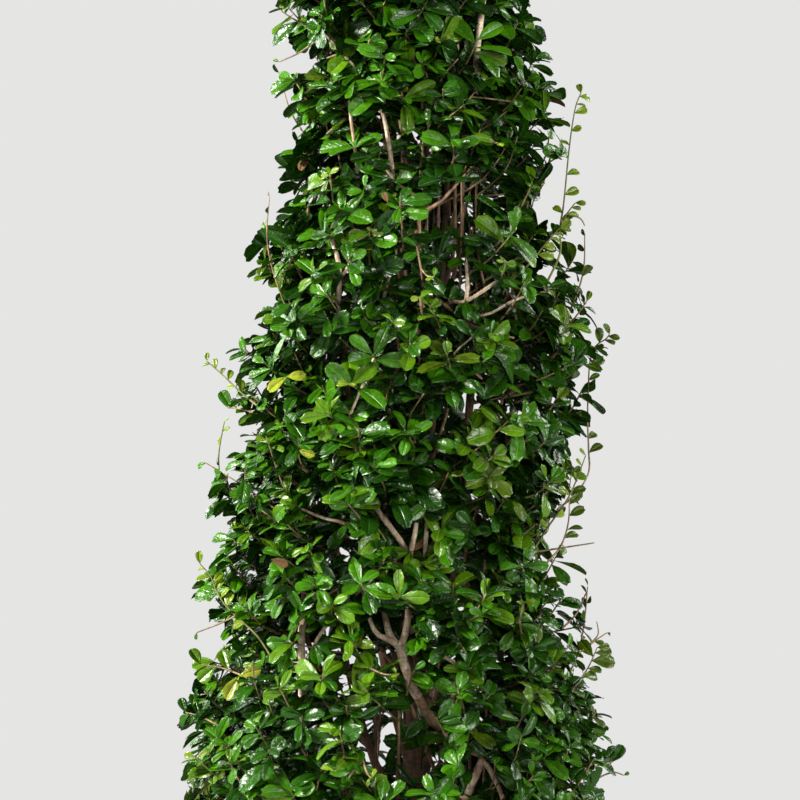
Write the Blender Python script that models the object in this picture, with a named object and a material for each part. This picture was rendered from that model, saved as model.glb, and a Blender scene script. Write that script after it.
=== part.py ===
"""A potted fukien tea shrub, clipped to a tall pyramid, as separate solids in metres, +Z up.

The pot stands on its flat underside at the origin. The trunk rises from the soil and runs up
through the crown. Boughs leave it low down and climb steeply inside the crown, and each one ends
at a mass of foliage that keeps to its own space: a tier between two heights and a sector of it.
"""

import math
import random

import bmesh
import bpy
import numpy as np
from mathutils import Vector
from mathutils.bvhtree import BVHTree

# Touching pieces keep this distance
GAP = 0.0003

# Pot, turned about the Z axis
POT_HEIGHT = 0.300
POT_FOOT_RADIUS = 0.120
POT_RIM_RADIUS = 0.166
POT_BAND_HEIGHT = 0.042
POT_BAND_OUT = 0.008
POT_WALL = 0.011
POT_FLOOR = 0.014
POT_CHAMFER = 0.004
POT_INSIDE_FOOT_RADIUS = 0.111
POT_SIDES = 32
SOIL_LEVEL = 0.272

# Trunk, from the flat cut at the soil to its tip under the top mass
TRUNK_TOP = 1.588
TRUNK_FOOT_RADIUS = 0.0125
TRUNK_TIP_RADIUS = 0.0030
FLARE_RADIUS = 0.0090
FLARE_HEIGHT = 0.012
TRUNK_BEND = 0.011
TRUNK_SIDES = 9
TRUNK_RINGS = 20

# Crown outline seen from the front: height, reach to the left, reach to the right
CROWN_OUTLINE = (
    (0.335, 0.185, 0.170),
    (0.390, 0.225, 0.200),
    (0.500, 0.240, 0.212),
    (0.560, 0.216, 0.204),
    (0.610, 0.203, 0.190),
    (0.665, 0.212, 0.181),
    (0.705, 0.195, 0.163),
    (0.770, 0.196, 0.184),
    (0.840, 0.170, 0.194),
    (0.920, 0.176, 0.196),
    (0.970, 0.165, 0.181),
    (1.030, 0.145, 0.172),
    (1.130, 0.117, 0.163),
    (1.200, 0.128, 0.150),
    (1.280, 0.130, 0.138),
    (1.400, 0.118, 0.123),
    (1.550, 0.093, 0.095),
    (1.700, 0.058, 0.058),
    (1.800, 0.030, 0.030),
    (1.850, 0.008, 0.008),
)
# Share of the reach that holds only bare limbs
BARE_SHARE = 0.40
SEAM_WAVE = 0.032
SEAM_GAP = 0.0008
# How far a leaf may stand out past the outline, and lap over the border to the next mass
PROUD = 0.010
LAP = 0.020

# Tiers of foliage, lowest first: name, lowest height, turn of its sectors in degrees, twigs in
# each mass, and the sectors' names anticlockwise from the right side of the front view
FOUR_CORNERS = ("right_back", "left_back", "left_front", "right_front")
FOUR_SIDES = ("right", "back", "left", "front")
THREE_SIDES = ("right", "left", "front")
TIERS = (
    ("skirt", 0.345, 49, 8, FOUR_CORNERS),
    ("lower", 0.600, -9, 8, FOUR_SIDES),
    ("middle", 0.860, 7, 8, FOUR_SIDES),
    ("upper", 1.120, 30, 7, THREE_SIDES),
    ("high", 1.360, 22, 7, THREE_SIDES),
    ("top", 1.590, 0, 9, ("crown",)),
)
CROWN_TOP = 1.850

# Boughs: height of the lowest one of each tier on the trunk, the step from one to the next, the
# height of their tips, and the radius at the trunk
BOUGH_RULES = {
    "skirt": (0.298, 0.011, 0.405, 0.0050),
    "lower": (0.375, 0.014, 0.655, 0.0060),
    "middle": (0.425, 0.022, 0.915, 0.0052),
    "upper": (0.620, 0.040, 1.170, 0.0036),
    "high": (0.900, 0.040, 1.405, 0.0028),
}
BOUGH_TIP_RADIUS = 0.0024
BOUGH_SIDES = 5
BOUGH_RINGS = 8
BOUGH_TIP_SHARE = 0.365
# A bough's two bends: share of its run and rise from the trunk, then back from its tip
BOUGH_FIRST_BEND = (0.50, 0.22)
BOUGH_SECOND_BEND = (0.22, 0.42)
BOUGH_SWAY = 0.010
# The thick limb that crosses the front swings out to the right and ends at a low fork
SWUNG_BOUGH = "lower_front"
SWUNG_FOOT_HEIGHT = 0.342
SWUNG_BENDS = ((0.068, -0.014, 0.430), (0.045, -0.066, 0.530))
SWUNG_TIP_HEIGHT = 0.622
SWUNG_RADII = (0.0070, 0.0044)

# Foliage
LEAVES_ON_TWIG = 3
LEAF_LENGTH = 0.094
LEAF_WIDTH = 0.062
LEAF_THICK = 0.0022
LEAF_WIDEST = 0.60
LEAF_TILT = math.radians(25)
LEAF_ROOT = 0.0014
LEAF_DROOP = 0.04
LEAF_LENGTH_RANGE = (0.90, 1.10)
LEAF_TILT_RANGE = (0.7, 1.3)
# Leaves and twigs are full size where the crown reaches this far, and shorter above
FULL_REACH = 0.185
LEAST_SIZE = 0.38
LEAF_STEP = 0.005
TWIG_RADIUS = 0.0032
TWIG_PAST_LEAVES = 0.005
TWIG_DEPTH = 0.036
TWIG_DEPTH_RANGE = (0.85, 1.2)
TWIG_BEND_SHARE = 0.55
TWIG_TAPER = (1.15, 1.0, 0.8)
TWIG_SPREAD = 0.86
TWIG_RISE = 0.90
TWIG_SAG = 0.10
WHORL_ATTEMPTS = 16
WHORL_SWING = math.radians(12)
# Each try for room is a little flatter and shorter
FLATTER = 0.03
SHORTER = 0.025
STEM_RADIUS = 0.0042
STEM_TAPER = (0.62, 1.0, 0.85, 0.55)
STEM_STRAIGHT = 0.012
STEM_SIDES = 5
TWIG_SIDES = 3
# Where a stem bends and ends in its mass: height share of the tier, and share of the reach
STEM_BEND = (-0.25, 0.60)
STEM_TIP = (0.5, 0.74)
TOP_STEM_HEIGHTS = (1.66, 1.75, 1.82)
TOP_TWIGS_UP_TO = 0.85
CORE_INNER = 0.48
CORE_OUTER = 0.76
CORE_WIDE = 0.88
CORE_TALL = 0.975
CORE_SQUARENESS = 0.55
CORE_DENTS = 0.09
TOP_CORE_MIDDLE = 1.687
TOP_CORE_HALF_HEIGHT = 0.097
TOP_CORE_SHARE = 0.66
GOLDEN_ANGLE = math.radians(137.508)

# Long shoots left past the clipped outline: mass, foot and tip
SHOOTS = (
    ("middle_right", (0.163, 0, 1.048), (0.187, 0, 1.098)),
    ("middle_right", (0.178, 0, 0.880), (0.217, 0, 0.932)),
    ("lower_right", (0.160, 0, 0.698), (0.204, 0, 0.711)),
    ("middle_left", (-0.165, 0, 0.874), (-0.209, 0, 0.904)),
    ("lower_left", (-0.158, 0, 0.762), (-0.211, 0, 0.794)),
    ("lower_left", (-0.185, 0, 0.640), (-0.225, 0, 0.692)),
    ("skirt_left_front", (-0.200, -0.04, 0.500), (-0.246, -0.04, 0.522)),
    ("upper_right", (0.158, 0, 1.130), (0.187, 0, 1.192)),
)
SHOOT_LEAF_LENGTH = 0.030
SHOOT_RADIUS = 0.0024


def clear_scene():
    for old in list(bpy.data.objects):
        bpy.data.objects.remove(old, do_unlink=True)


def make_material(name, colour, roughness):
    material = bpy.data.materials.new(name)
    material.use_nodes = True
    shader = material.node_tree.nodes["Principled BSDF"]
    shader.inputs["Base Color"].default_value = (*colour, 1.0)
    shader.inputs["Roughness"].default_value = roughness
    return material


def add_object(name, mesh, material, smooth_angle=None, collection=None):
    """Turns a bmesh into an object, with its faces pointing outwards."""
    bmesh.ops.recalc_face_normals(mesh, faces=mesh.faces)
    if mesh.calc_volume(signed=True) < 0:
        bmesh.ops.reverse_faces(mesh, faces=mesh.faces)
    data = bpy.data.meshes.new(name)
    mesh.to_mesh(data)
    mesh.free()
    if smooth_angle:
        data.shade_smooth()
        data.set_sharp_from_angle(angle=smooth_angle)
    data.materials.append(material)
    made = bpy.data.objects.new(name, data)
    (collection or bpy.context.scene.collection).objects.link(made)
    return made


def apply_modifiers(made):
    graph = bpy.context.evaluated_depsgraph_get()
    data = bpy.data.meshes.new_from_object(made.evaluated_get(graph))
    old = made.data
    made.modifiers.clear()
    made.data = data
    data.name = old.name
    bpy.data.meshes.remove(old)


def is_sound(made):
    """Whether every edge of the evaluated mesh has two faces that agree on which side is out."""
    mesh = bmesh.new()
    mesh.from_object(made, bpy.context.evaluated_depsgraph_get())
    sound = len(mesh.faces) > 0 and all(edge.is_contiguous for edge in mesh.edges)
    mesh.free()
    return sound


def drop_object(made):
    data = made.data
    bpy.data.objects.remove(made, do_unlink=True)
    bpy.data.meshes.remove(data)


def keep_largest_body(made):
    """Fills sealed hollows and drops loose scrap, so one closed body is left."""
    mesh = bmesh.new()
    mesh.from_mesh(made.data)
    bmesh.ops.triangulate(mesh, faces=mesh.faces)
    unseen = set(mesh.faces)
    bodies = []
    while unseen:
        body = [unseen.pop()]
        for face in body:
            for edge in face.edges:
                for other in edge.link_faces:
                    if other in unseen:
                        unseen.remove(other)
                        body.append(other)
        bodies.append(body)

    def volume(body):
        corners = [[v.co for v in face.verts] for face in body]
        return sum(a.dot(b.cross(c)) for a, b, c in corners) / 6

    bodies.sort(key=volume)
    scrap = [face for body in bodies[:-1] for face in body]
    bmesh.ops.delete(mesh, geom=scrap, context="FACES")
    mesh.to_mesh(made.data)
    mesh.free()


def turned(name, profile, sides, material, smooth_angle):
    """Spins a profile of (radius, height) points, whose ends lie on the axis, about Z."""
    mesh = bmesh.new()
    points = [mesh.verts.new((radius, 0, height)) for radius, height in profile]
    edges = [mesh.edges.new(pair) for pair in zip(points, points[1:])]
    bmesh.ops.spin(
        mesh, geom=points + edges, axis=(0, 0, 1), cent=(0, 0, 0),
        angle=2 * math.pi, steps=sides, use_merge=True,
    )
    bmesh.ops.remove_doubles(mesh, verts=mesh.verts, dist=1e-5)
    return add_object(name, mesh, material, smooth_angle)


def smooth_path(corners, count):
    """Points evenly along the cubic curve with these four control points."""
    a, b, c, d = corners
    path = []
    for step in range(count):
        t = step / (count - 1)
        s = 1 - t
        path.append(a * s**3 + b * (3 * s * s * t) + c * (3 * s * t * t) + d * t**3)
    return path


def tube(path, radii, sides, level_foot=False):
    """A closed tapering limb: a ring extruded from point to point, with flat ends."""
    mesh = bmesh.new()
    ring = bmesh.ops.create_circle(mesh, segments=sides, radius=1)["verts"]
    shape = [corner.co.copy() for corner in ring]
    last = len(path) - 1
    side = None
    for index, point in enumerate(path):
        along = (path[min(index + 1, last)] - path[max(index - 1, 0)]).normalized()
        if index == 0 and level_foot:
            along = Vector((0, 0, 1))
        if side is None:
            side = along.orthogonal().normalized()
        side = (side - along * side.dot(along)).normalized()
        other = along.cross(side)
        if index:
            edges = [mesh.edges.get(pair) for pair in zip(ring, ring[1:] + ring[:1])]
            grown = bmesh.ops.extrude_edge_only(mesh, edges=edges)["geom"]
            new = {corner for corner in grown if isinstance(corner, bmesh.types.BMVert)}
            ring = [
                next(edge.other_vert(corner) for edge in corner.link_edges
                     if edge.other_vert(corner) in new)
                for corner in ring
            ]
        for corner, flat in zip(ring, shape):
            corner.co = point + (side * flat.x + other * flat.y) * radii[index]
    bmesh.ops.holes_fill(mesh, edges=mesh.edges)
    return mesh


def reach(height, azimuth):
    """Distance from the crown's axis to its clipped outline."""
    heights, left, right = zip(*CROWN_OUTLINE)
    to_left = np.interp(height, heights, left)
    to_right = np.interp(height, heights, right)
    return float(to_left + (to_right - to_left) * (1 + math.cos(azimuth)) / 2)


def outward(azimuth):
    return Vector((math.cos(azimuth), math.sin(azimuth), 0))


def seam(level, azimuth):
    """Height of the border between two tiers, which rises and falls round the crown."""
    return level + SEAM_WAVE * math.sin(2 * azimuth + 9 * level)


def trunk_centre(height):
    """The trunk leans a little to the right low down and comes back over the pot."""
    t = (height - SOIL_LEVEL) / (TRUNK_TOP - SOIL_LEVEL)
    sideways = TRUNK_BEND * math.sin(math.pi * min(1, 2.6 * t)) * math.exp(-1.2 * t)
    return Vector((sideways, 0.4 * TRUNK_BEND * math.sin(5 * t), height))


def trunk_radius(height):
    t = (height - SOIL_LEVEL) / (TRUNK_TOP - SOIL_LEVEL)
    taper = TRUNK_FOOT_RADIUS + (TRUNK_TIP_RADIUS - TRUNK_FOOT_RADIUS) * t**0.75
    return taper + FLARE_RADIUS * math.exp(-(height - SOIL_LEVEL) / FLARE_HEIGHT)


class Space:
    """The part of the crown that one mass keeps to."""

    def __init__(self, tier, sector):
        self.tier, low, turn, self.twigs, sides = TIERS[tier]
        self.name = f"{self.tier}_{sides[sector]}"
        self.low = low
        self.high = TIERS[tier + 1][1] if tier + 1 < len(TIERS) else CROWN_TOP + PROUD
        self.first_tier = tier == 0
        self.last_tier = tier + 1 == len(TIERS)
        self.half = math.pi / len(sides)
        self.azimuth = math.radians(turn) + 2 * self.half * sector
        self.seed = 10 * tier + sector

    def floor_at(self, azimuth):
        return self.low if self.first_tier else seam(self.low, azimuth)

    def ceiling_at(self, azimuth):
        return self.high if self.last_tier else seam(self.high, azimuth)

    def point(self, sideways, upwards, share):
        """The place at these shares, -1 to 1, of the sector and tier, and this share of reach."""
        azimuth = self.azimuth + sideways * self.half
        low = self.floor_at(azimuth)
        height = low + (self.ceiling_at(azimuth) - low) * (upwards + 1) / 2
        found = outward(azimuth) * (share * reach(height, azimuth))
        found.z = height
        return found

    def holds(self, point, lap=-SEAM_GAP):
        """Whether a point is in the space, or no further past its borders than the lap."""
        azimuth = math.atan2(point.y, point.x)
        radius = math.hypot(point.x, point.y)
        if not self.last_tier:
            off = (azimuth - self.azimuth + math.pi) % (2 * math.pi) - math.pi
            if radius * math.sin(min(math.pi / 2, abs(off) - self.half)) > lap:
                return False
            if radius < BARE_SHARE * reach(point.z, azimuth) + SEAM_GAP:
                return False
        if point.z < self.floor_at(azimuth) - (PROUD if self.first_tier else lap):
            return False
        if point.z > self.ceiling_at(azimuth) + lap:
            return False
        return radius < reach(point.z, azimuth) + PROUD


def facing_out(point):
    """The direction that the clipped surface faces near a point, turned up a little."""
    azimuth = math.atan2(point.y, point.x)
    step = 0.02
    slope = reach(point.z + step, azimuth) - reach(point.z - step, azimuth)
    slope = max(-1.5, min(0.2, slope / (2 * step)))
    return (outward(azimuth) + Vector((0, 0, 0.15 - slope))).normalized()


def even_spread(count, seed):
    """Pairs from -1 to 1 that cover a square evenly, by steps that never line up."""
    for index in range(count):
        first = (0.5 + 0.1731 * seed + index * 0.7548777) % 1
        second = (0.5 + 0.3317 * seed + index * 0.5698403) % 1
        yield 2 * first - 1, 2 * second - 1


def leaf(root, along, facing, length):
    """A leaf of eight faces: blunt at the root, widest past the middle, raised at its midrib."""
    along = along.normalized()
    facing = (facing - along * facing.dot(along)).normalized()
    across = along.cross(facing) * (LEAF_WIDTH / LEAF_LENGTH * length / 2)
    waist = root + along * (LEAF_WIDEST * length)
    thick = facing * (LEAF_THICK * length / LEAF_LENGTH)
    spread = facing * (LEAF_DROOP * length)
    root_up = root + facing * (LEAF_ROOT / 2)
    root_down = root - facing * (LEAF_ROOT / 2)
    tip = root + along * length - spread
    mesh = bmesh.new()
    places = (root_up, root_down, waist + across - spread, waist - across - spread, waist, tip)
    up, down, left, right, rib, end = [mesh.verts.new(place) for place in places]
    rib.co = waist + thick
    for corners in (
        (up, left, rib), (up, rib, right), (rib, left, end), (rib, end, right),
        (up, down, left), (up, right, down), (down, right, left), (left, right, end),
    ):
        mesh.faces.new(corners)
    return mesh, (places[2], places[3], tip)


class Thicket:
    """Remembers what has grown so far, so that nothing new cuts through it."""

    def __init__(self):
        self.grown = []

    def add(self, mesh):
        low, high = [[pick(corner.co[axis] for corner in mesh.verts) for axis in range(3)]
                     for pick in (min, max)]
        self.grown.append((Vector(low), Vector(high), BVHTree.FromBMesh(mesh)))
        return self.grown[-1]

    def blocks(self, mesh, besides):
        """Whether a new leaf cuts through anything but the twig that it grows on."""
        low, high, tree = self.add(mesh)
        self.grown.pop()
        for other in self.grown:
            apart = any(low[i] > other[1][i] or high[i] < other[0][i] for i in range(3))
            if not apart and other is not besides and tree.overlap(other[2]):
                return True
        return False


class Mass:
    """Gathers the solids of one mass and joins them to one."""

    def __init__(self, space, foot, direction, material, thicket):
        self.space = space
        self.material = material
        self.thicket = thicket
        self.random = random.Random(space.seed)
        self.tips = []
        self.collection = bpy.data.collections.new(space.name)
        bpy.context.scene.collection.children.link(self.collection)
        self.stem_path = self.lay_stem(foot, direction)
        mesh = tube(self.stem_path, [STEM_RADIUS * share for share in STEM_TAPER], STEM_SIDES)
        thicket.add(mesh)
        self.stem = add_object("foliage_" + space.name, mesh, material)

    def lay_stem(self, foot, direction):
        space = self.space
        if space.last_tier:
            heights = (foot.z, *TOP_STEM_HEIGHTS)
            return [Vector((foot.x, foot.y, height)) for height in heights]
        straight = foot + direction * STEM_STRAIGHT
        return [foot, straight, space.point(0, *STEM_BEND), space.point(0, *STEM_TIP)]

    def add(self, mesh, name):
        grown = self.thicket.add(mesh)
        add_object(name, mesh, self.material, collection=self.collection)
        return grown

    def add_core(self):
        space = self.space
        mesh = bmesh.new()
        bmesh.ops.create_icosphere(mesh, subdivisions=2, radius=1)
        middle = (CORE_OUTER + CORE_INNER) / 2
        depth = (CORE_OUTER - CORE_INNER) / 2
        for corner in mesh.verts:
            flat = Vector([math.copysign(abs(part) ** CORE_SQUARENESS, part) for part in corner.co])
            dent = math.sin(5 * flat.x + space.seed) * math.cos(4 * flat.z)
            lump = 1 - CORE_DENTS * dent**2
            if space.last_tier:
                height = TOP_CORE_MIDDLE + TOP_CORE_HALF_HEIGHT * flat.z
                wide = TOP_CORE_SHARE * reach(height, 0) * lump
                corner.co = Vector((flat.x * wide, flat.y * wide, height))
            else:
                corner.co = space.point(
                    flat.x * CORE_WIDE * lump, flat.z * CORE_TALL * lump,
                    middle + flat.y * depth * lump,
                )
        self.add(mesh, "core")

    def on_stem(self, upwards):
        """A point of the stem, by the height share of the twig that leaves it."""
        share = max(0.0, min(1.0, (upwards + 1) / 2))
        if self.space.last_tier:
            low, high = self.stem_path[1], self.stem_path[3]
            return low.lerp(high, TOP_TWIGS_UP_TO * share)
        return self.stem_path[2].lerp(self.stem_path[3], share)

    def grow_twigs(self):
        space = self.space
        for sideways, upwards in even_spread(space.twigs, space.seed):
            spread = 1.0 if space.last_tier else TWIG_SPREAD
            tip = space.point(spread * sideways, TWIG_RISE * upwards, 1.0)
            facing = facing_out(tip)
            size = max(LEAST_SIZE, min(1, math.hypot(tip.x, tip.y) / FULL_REACH))
            tip -= facing * TWIG_DEPTH * size * self.random.uniform(*TWIG_DEPTH_RANGE)
            start = self.on_stem(upwards)
            bend = start.lerp(tip, TWIG_BEND_SHARE)
            bend.z -= TWIG_SAG * (tip - start).length
            if not (space.holds(tip) and space.holds(bend)):
                continue
            along = (tip - bend).normalized()
            radii = [TWIG_RADIUS * share for share in TWIG_TAPER]
            path = (start, bend, tip + along * TWIG_PAST_LEAVES)
            twig = self.add(tube(path, radii, TWIG_SIDES), "twig")
            self.tips.append((tip, along, facing, size, twig))

    def grow_leaves(self):
        for index, found in enumerate(self.tips):
            self.grow_whorl(*found, GOLDEN_ANGLE * index)

    def grow_whorl(self, tip, twig_along, facing, size, twig, first_turn):
        """Leaves round the end of a twig; each is turned until it has room."""
        east = Vector((0, 0, 1)).cross(facing).normalized()
        north = facing.cross(east)
        for number in range(LEAVES_ON_TWIG):
            root = tip - twig_along * (LEAF_STEP * number)
            length = LEAF_LENGTH * size * self.random.uniform(*LEAF_LENGTH_RANGE)
            tilt = LEAF_TILT * self.random.uniform(*LEAF_TILT_RANGE)
            turn = first_turn + 2 * math.pi * number / LEAVES_ON_TWIG
            for attempt in range(WHORL_ATTEMPTS):
                swing = WHORL_SWING * attempt * (-1) ** attempt
                flat = east * math.cos(turn + swing) + north * math.sin(turn + swing)
                lift = tilt * (1 - FLATTER * attempt)
                along = flat * math.cos(lift) + facing * math.sin(lift)
                mesh, ends = leaf(root, along, facing, length * (1 - SHORTER * attempt))
                kept = all(self.space.holds(end, LAP) for end in ends)
                if kept and not self.thicket.blocks(mesh, twig):
                    self.add(mesh, "leaf")
                    break
                mesh.free()

    def grow_shoot(self, foot, end):
        """A long shoot from the core past the outline."""
        foot = Vector(foot)
        end = Vector(end)
        middle = foot.lerp(end, 0.5)
        radii = (TWIG_RADIUS, SHOOT_RADIUS * 1.2, SHOOT_RADIUS, SHOOT_RADIUS * 0.7)
        self.add(tube((self.on_stem(0), foot, middle, end), radii, TWIG_SIDES), "shoot")
        along = (end - foot).normalized()
        out = outward(math.atan2(foot.y, foot.x))
        direction = along * 0.5 + Vector((0, -1, 0)) + out * 0.4
        mesh, _ = leaf(middle.lerp(end, 0.7), direction, Vector((0, 0, 1)), SHOOT_LEAF_LENGTH)
        self.add(mesh, "leaf")

    def join(self):
        """One union of the stem with all the rest; the second solver stands in for the first."""
        union = self.stem.modifiers.new("join", "BOOLEAN")
        union.operation = "UNION"
        union.operand_type = "COLLECTION"
        union.collection = self.collection
        if not is_sound(self.stem):
            union.solver = "MANIFOLD"
        apply_modifiers(self.stem)
        for made in list(self.collection.objects):
            drop_object(made)
        bpy.data.collections.remove(self.collection)
        keep_largest_body(self.stem)


def build_pot(material):
    height = POT_HEIGHT
    band = height - POT_BAND_HEIGHT
    rim = POT_RIM_RADIUS
    body = rim - POT_BAND_OUT
    at_band = POT_FOOT_RADIUS + (body - POT_FOOT_RADIUS) * band / height
    profile = (
        (0, 0), (POT_FOOT_RADIUS - POT_CHAMFER, 0), (POT_FOOT_RADIUS, POT_CHAMFER),
        (at_band, band), (rim - POT_CHAMFER, band), (rim, band + POT_CHAMFER),
        (rim, height - POT_CHAMFER), (rim - POT_CHAMFER, height),
        (body - POT_WALL + POT_CHAMFER, height), (body - POT_WALL, height - POT_CHAMFER),
        (POT_INSIDE_FOOT_RADIUS, POT_FLOOR), (0, POT_FLOOR),
    )
    return turned("pot", profile, POT_SIDES, material, math.radians(35))


def build_soil(material):
    """The soil fills the pot up to its level, clear of the wall and the floor."""
    top_inside = POT_RIM_RADIUS - POT_BAND_OUT - POT_WALL
    low, high = POT_FLOOR, POT_HEIGHT - POT_CHAMFER

    def wall(level):
        share = (level - low) / (high - low)
        return POT_INSIDE_FOOT_RADIUS * (1 - share) + top_inside * share - 2 * GAP

    floor = POT_FLOOR + GAP
    profile = ((0, floor), (wall(floor), floor), (wall(SOIL_LEVEL), SOIL_LEVEL), (0, SOIL_LEVEL))
    return turned("soil", profile, POT_SIDES, material, math.radians(35))


def trunk_tube(extra):
    """The trunk's shape, with this much added to its radius. Rings crowd at the root flare."""
    foot = SOIL_LEVEL + GAP
    span = TRUNK_TOP - foot
    heights = [foot + span * (step / (TRUNK_RINGS - 1)) ** 1.6 for step in range(TRUNK_RINGS)]
    path = [trunk_centre(height) for height in heights]
    radii = [trunk_radius(height) + extra for height in heights]
    return tube(path, radii, TRUNK_SIDES, level_foot=True)


def build_trunk(material, thicket):
    mesh = trunk_tube(0)
    thicket.add(mesh)
    return add_object("trunk", mesh, material, math.radians(50))


def bough_path(space, number):
    """A steep curve from the trunk's middle to the border of the mass."""
    foot_height, step, tip_height, _ = BOUGH_RULES[space.tier]
    swung = space.name == SWUNG_BOUGH
    if swung:
        foot_height, step, tip_height = SWUNG_FOOT_HEIGHT, 0, SWUNG_TIP_HEIGHT
    start = trunk_centre(foot_height + step * number)
    azimuth = space.azimuth
    tip = outward(azimuth) * (BOUGH_TIP_SHARE * reach(tip_height, azimuth))
    tip.z = tip_height
    rise = tip.z - start.z
    run = Vector((tip.x - start.x, tip.y - start.y, 0))
    up = Vector((0, 0, rise))
    aside = up.normalized().cross(outward(azimuth)) * (BOUGH_SWAY * math.sin(2.4 * space.seed))
    first = start + run * BOUGH_FIRST_BEND[0] + up * BOUGH_FIRST_BEND[1] + aside
    second = tip - run * BOUGH_SECOND_BEND[0] - up * BOUGH_SECOND_BEND[1] + aside * 0.8
    if swung:
        first, second = [Vector(bend) for bend in SWUNG_BENDS]
    return smooth_path((start, first, second, tip), BOUGH_RINGS)


def build_bough(space, number, material, cutter, thicket):
    path = bough_path(space, number)
    foot_radius, tip_radius = BOUGH_RULES[space.tier][3], BOUGH_TIP_RADIUS
    if space.name == SWUNG_BOUGH:
        foot_radius, tip_radius = SWUNG_RADII
    last = len(path) - 1
    radii = [foot_radius + (tip_radius - foot_radius) * (i / last) ** 0.8 for i in range(last + 1)]
    mesh = tube(path, radii, BOUGH_SIDES)
    thicket.add(mesh)
    made = add_object("bough_" + space.name, mesh, material, math.radians(50))
    cut = made.modifiers.new("clear_of_trunk", "BOOLEAN")
    cut.operation = "DIFFERENCE"
    cut.object = cutter
    direction = (path[-1] - path[-2]).normalized()
    return path[-1] + direction * GAP, direction


def main():
    clear_scene()
    clay = make_material("clay", (0.42, 0.17, 0.09), 0.85)
    earth = make_material("earth", (0.045, 0.030, 0.020), 0.95)
    bark = make_material("bark", (0.23, 0.17, 0.12), 0.85)
    foliage = make_material("foliage", (0.05, 0.12, 0.02), 0.45)
    thicket = Thicket()
    build_pot(clay)
    build_soil(earth)
    build_trunk(bark, thicket)
    cutter = add_object("trunk_cutter", trunk_tube(GAP / math.cos(math.pi / TRUNK_SIDES)), bark)
    cutter.hide_render = True
    cutter.display_type = "WIRE"
    starts = []
    for tier, rules in enumerate(TIERS):
        for sector in range(len(rules[-1])):
            space = Space(tier, sector)
            if space.last_tier:
                starts.append((space, trunk_centre(TRUNK_TOP + GAP), Vector((0, 0, 1))))
            else:
                starts.append((space, *build_bough(space, sector, bark, cutter, thicket)))
    masses = [Mass(*start, foliage, thicket) for start in starts]
    for mass in masses:
        mass.add_core()
        mass.grow_twigs()
        for owner, shoot_foot, shoot_end in SHOOTS:
            if owner == mass.space.name:
                mass.grow_shoot(shoot_foot, shoot_end)
    for mass in masses:
        mass.grow_leaves()
        mass.join()


main()
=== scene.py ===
"""A potted fukien tea shrub, clipped to a tall pyramid: pot, soil, bark, twigs and leaves."""
import math
import random

import bmesh
import bpy
import numpy as np
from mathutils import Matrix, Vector, kdtree, noise


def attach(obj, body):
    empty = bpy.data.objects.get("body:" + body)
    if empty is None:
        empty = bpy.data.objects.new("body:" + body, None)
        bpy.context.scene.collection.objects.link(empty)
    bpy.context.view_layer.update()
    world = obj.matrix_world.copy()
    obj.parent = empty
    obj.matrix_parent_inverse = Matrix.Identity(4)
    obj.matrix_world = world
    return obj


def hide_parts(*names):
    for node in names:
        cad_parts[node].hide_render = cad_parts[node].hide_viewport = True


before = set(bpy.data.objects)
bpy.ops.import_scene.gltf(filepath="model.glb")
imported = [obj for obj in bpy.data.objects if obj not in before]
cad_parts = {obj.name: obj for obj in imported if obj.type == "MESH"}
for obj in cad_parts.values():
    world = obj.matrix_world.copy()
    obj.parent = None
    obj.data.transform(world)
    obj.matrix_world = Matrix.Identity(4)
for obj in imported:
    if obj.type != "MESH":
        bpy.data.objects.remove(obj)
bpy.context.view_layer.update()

UP = Vector((0, 0, 1))

# Pot and soil
POT_HEIGHT = 0.300
POT_FOOT_RADIUS = 0.120
POT_RIM_RADIUS = 0.166
POT_BAND_HEIGHT = 0.042
POT_BAND_OUT = 0.008
POT_WALL = 0.011
POT_FLOOR = 0.014
POT_INSIDE_FOOT_RADIUS = 0.111
POT_STEPS = 144
POT_ROWS = 46
POT_UNEVEN = 0.0006
POT_UNEVEN_SCALE = 14
# Faint rings from the wheel: height, pitch and shift of each wave
POT_RINGS = ((0.00035, 520, 0), (0.00025, 233, 1))
SOIL_LEVEL = 0.272
SOIL_DEPTH = 0.030
SOIL_RINGS = 74
SOIL_STEPS = 150
SOIL_COARSE = 0.0022
SOIL_FINE = 0.0014
SOIL_MOUND = 0.003
SOIL_MOUND_WIDTH = 0.04
SOIL_OFF_POT = 0.0012
# What lies on the soil: name, number, least and most size, flatness, finish
CRUMBS = (
    ("soil_crumbs", 1500, 0.0010, 0.0030, 0.75, "soil"),
    ("bark_chips", 260, 0.0022, 0.0052, 0.38, "chips"),
)
CRUMBS_OFF_TRUNK = 0.026
CRUMBS_OFF_POT = 0.007
CRUMB_STRETCH = (1.0, 1.7)
CRUMB_ROUGHNESS = 0.35
GAP = 0.0003

# Trunk and crown, by the same rule as the solids
TRUNK_TOP = 1.588
TRUNK_FOOT_RADIUS = 0.0125
TRUNK_TIP_RADIUS = 0.0030
FLARE_RADIUS = 0.0090
FLARE_HEIGHT = 0.012
TRUNK_BEND = 0.011
CROWN_OUTLINE = (
    (0.335, 0.185, 0.170),
    (0.390, 0.225, 0.200),
    (0.500, 0.240, 0.212),
    (0.560, 0.216, 0.204),
    (0.610, 0.203, 0.190),
    (0.665, 0.212, 0.181),
    (0.705, 0.195, 0.163),
    (0.770, 0.196, 0.184),
    (0.840, 0.170, 0.194),
    (0.920, 0.176, 0.196),
    (0.970, 0.165, 0.181),
    (1.030, 0.145, 0.172),
    (1.130, 0.117, 0.163),
    (1.200, 0.128, 0.150),
    (1.280, 0.130, 0.138),
    (1.400, 0.118, 0.123),
    (1.550, 0.093, 0.095),
    (1.700, 0.058, 0.058),
    (1.800, 0.030, 0.030),
    (1.850, 0.008, 0.008),
)
BARE_SHARE = 0.40
SEAM_WAVE = 0.032
PROUD = 0.010
LAP = 0.020
RAGGED = 1.6
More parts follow.
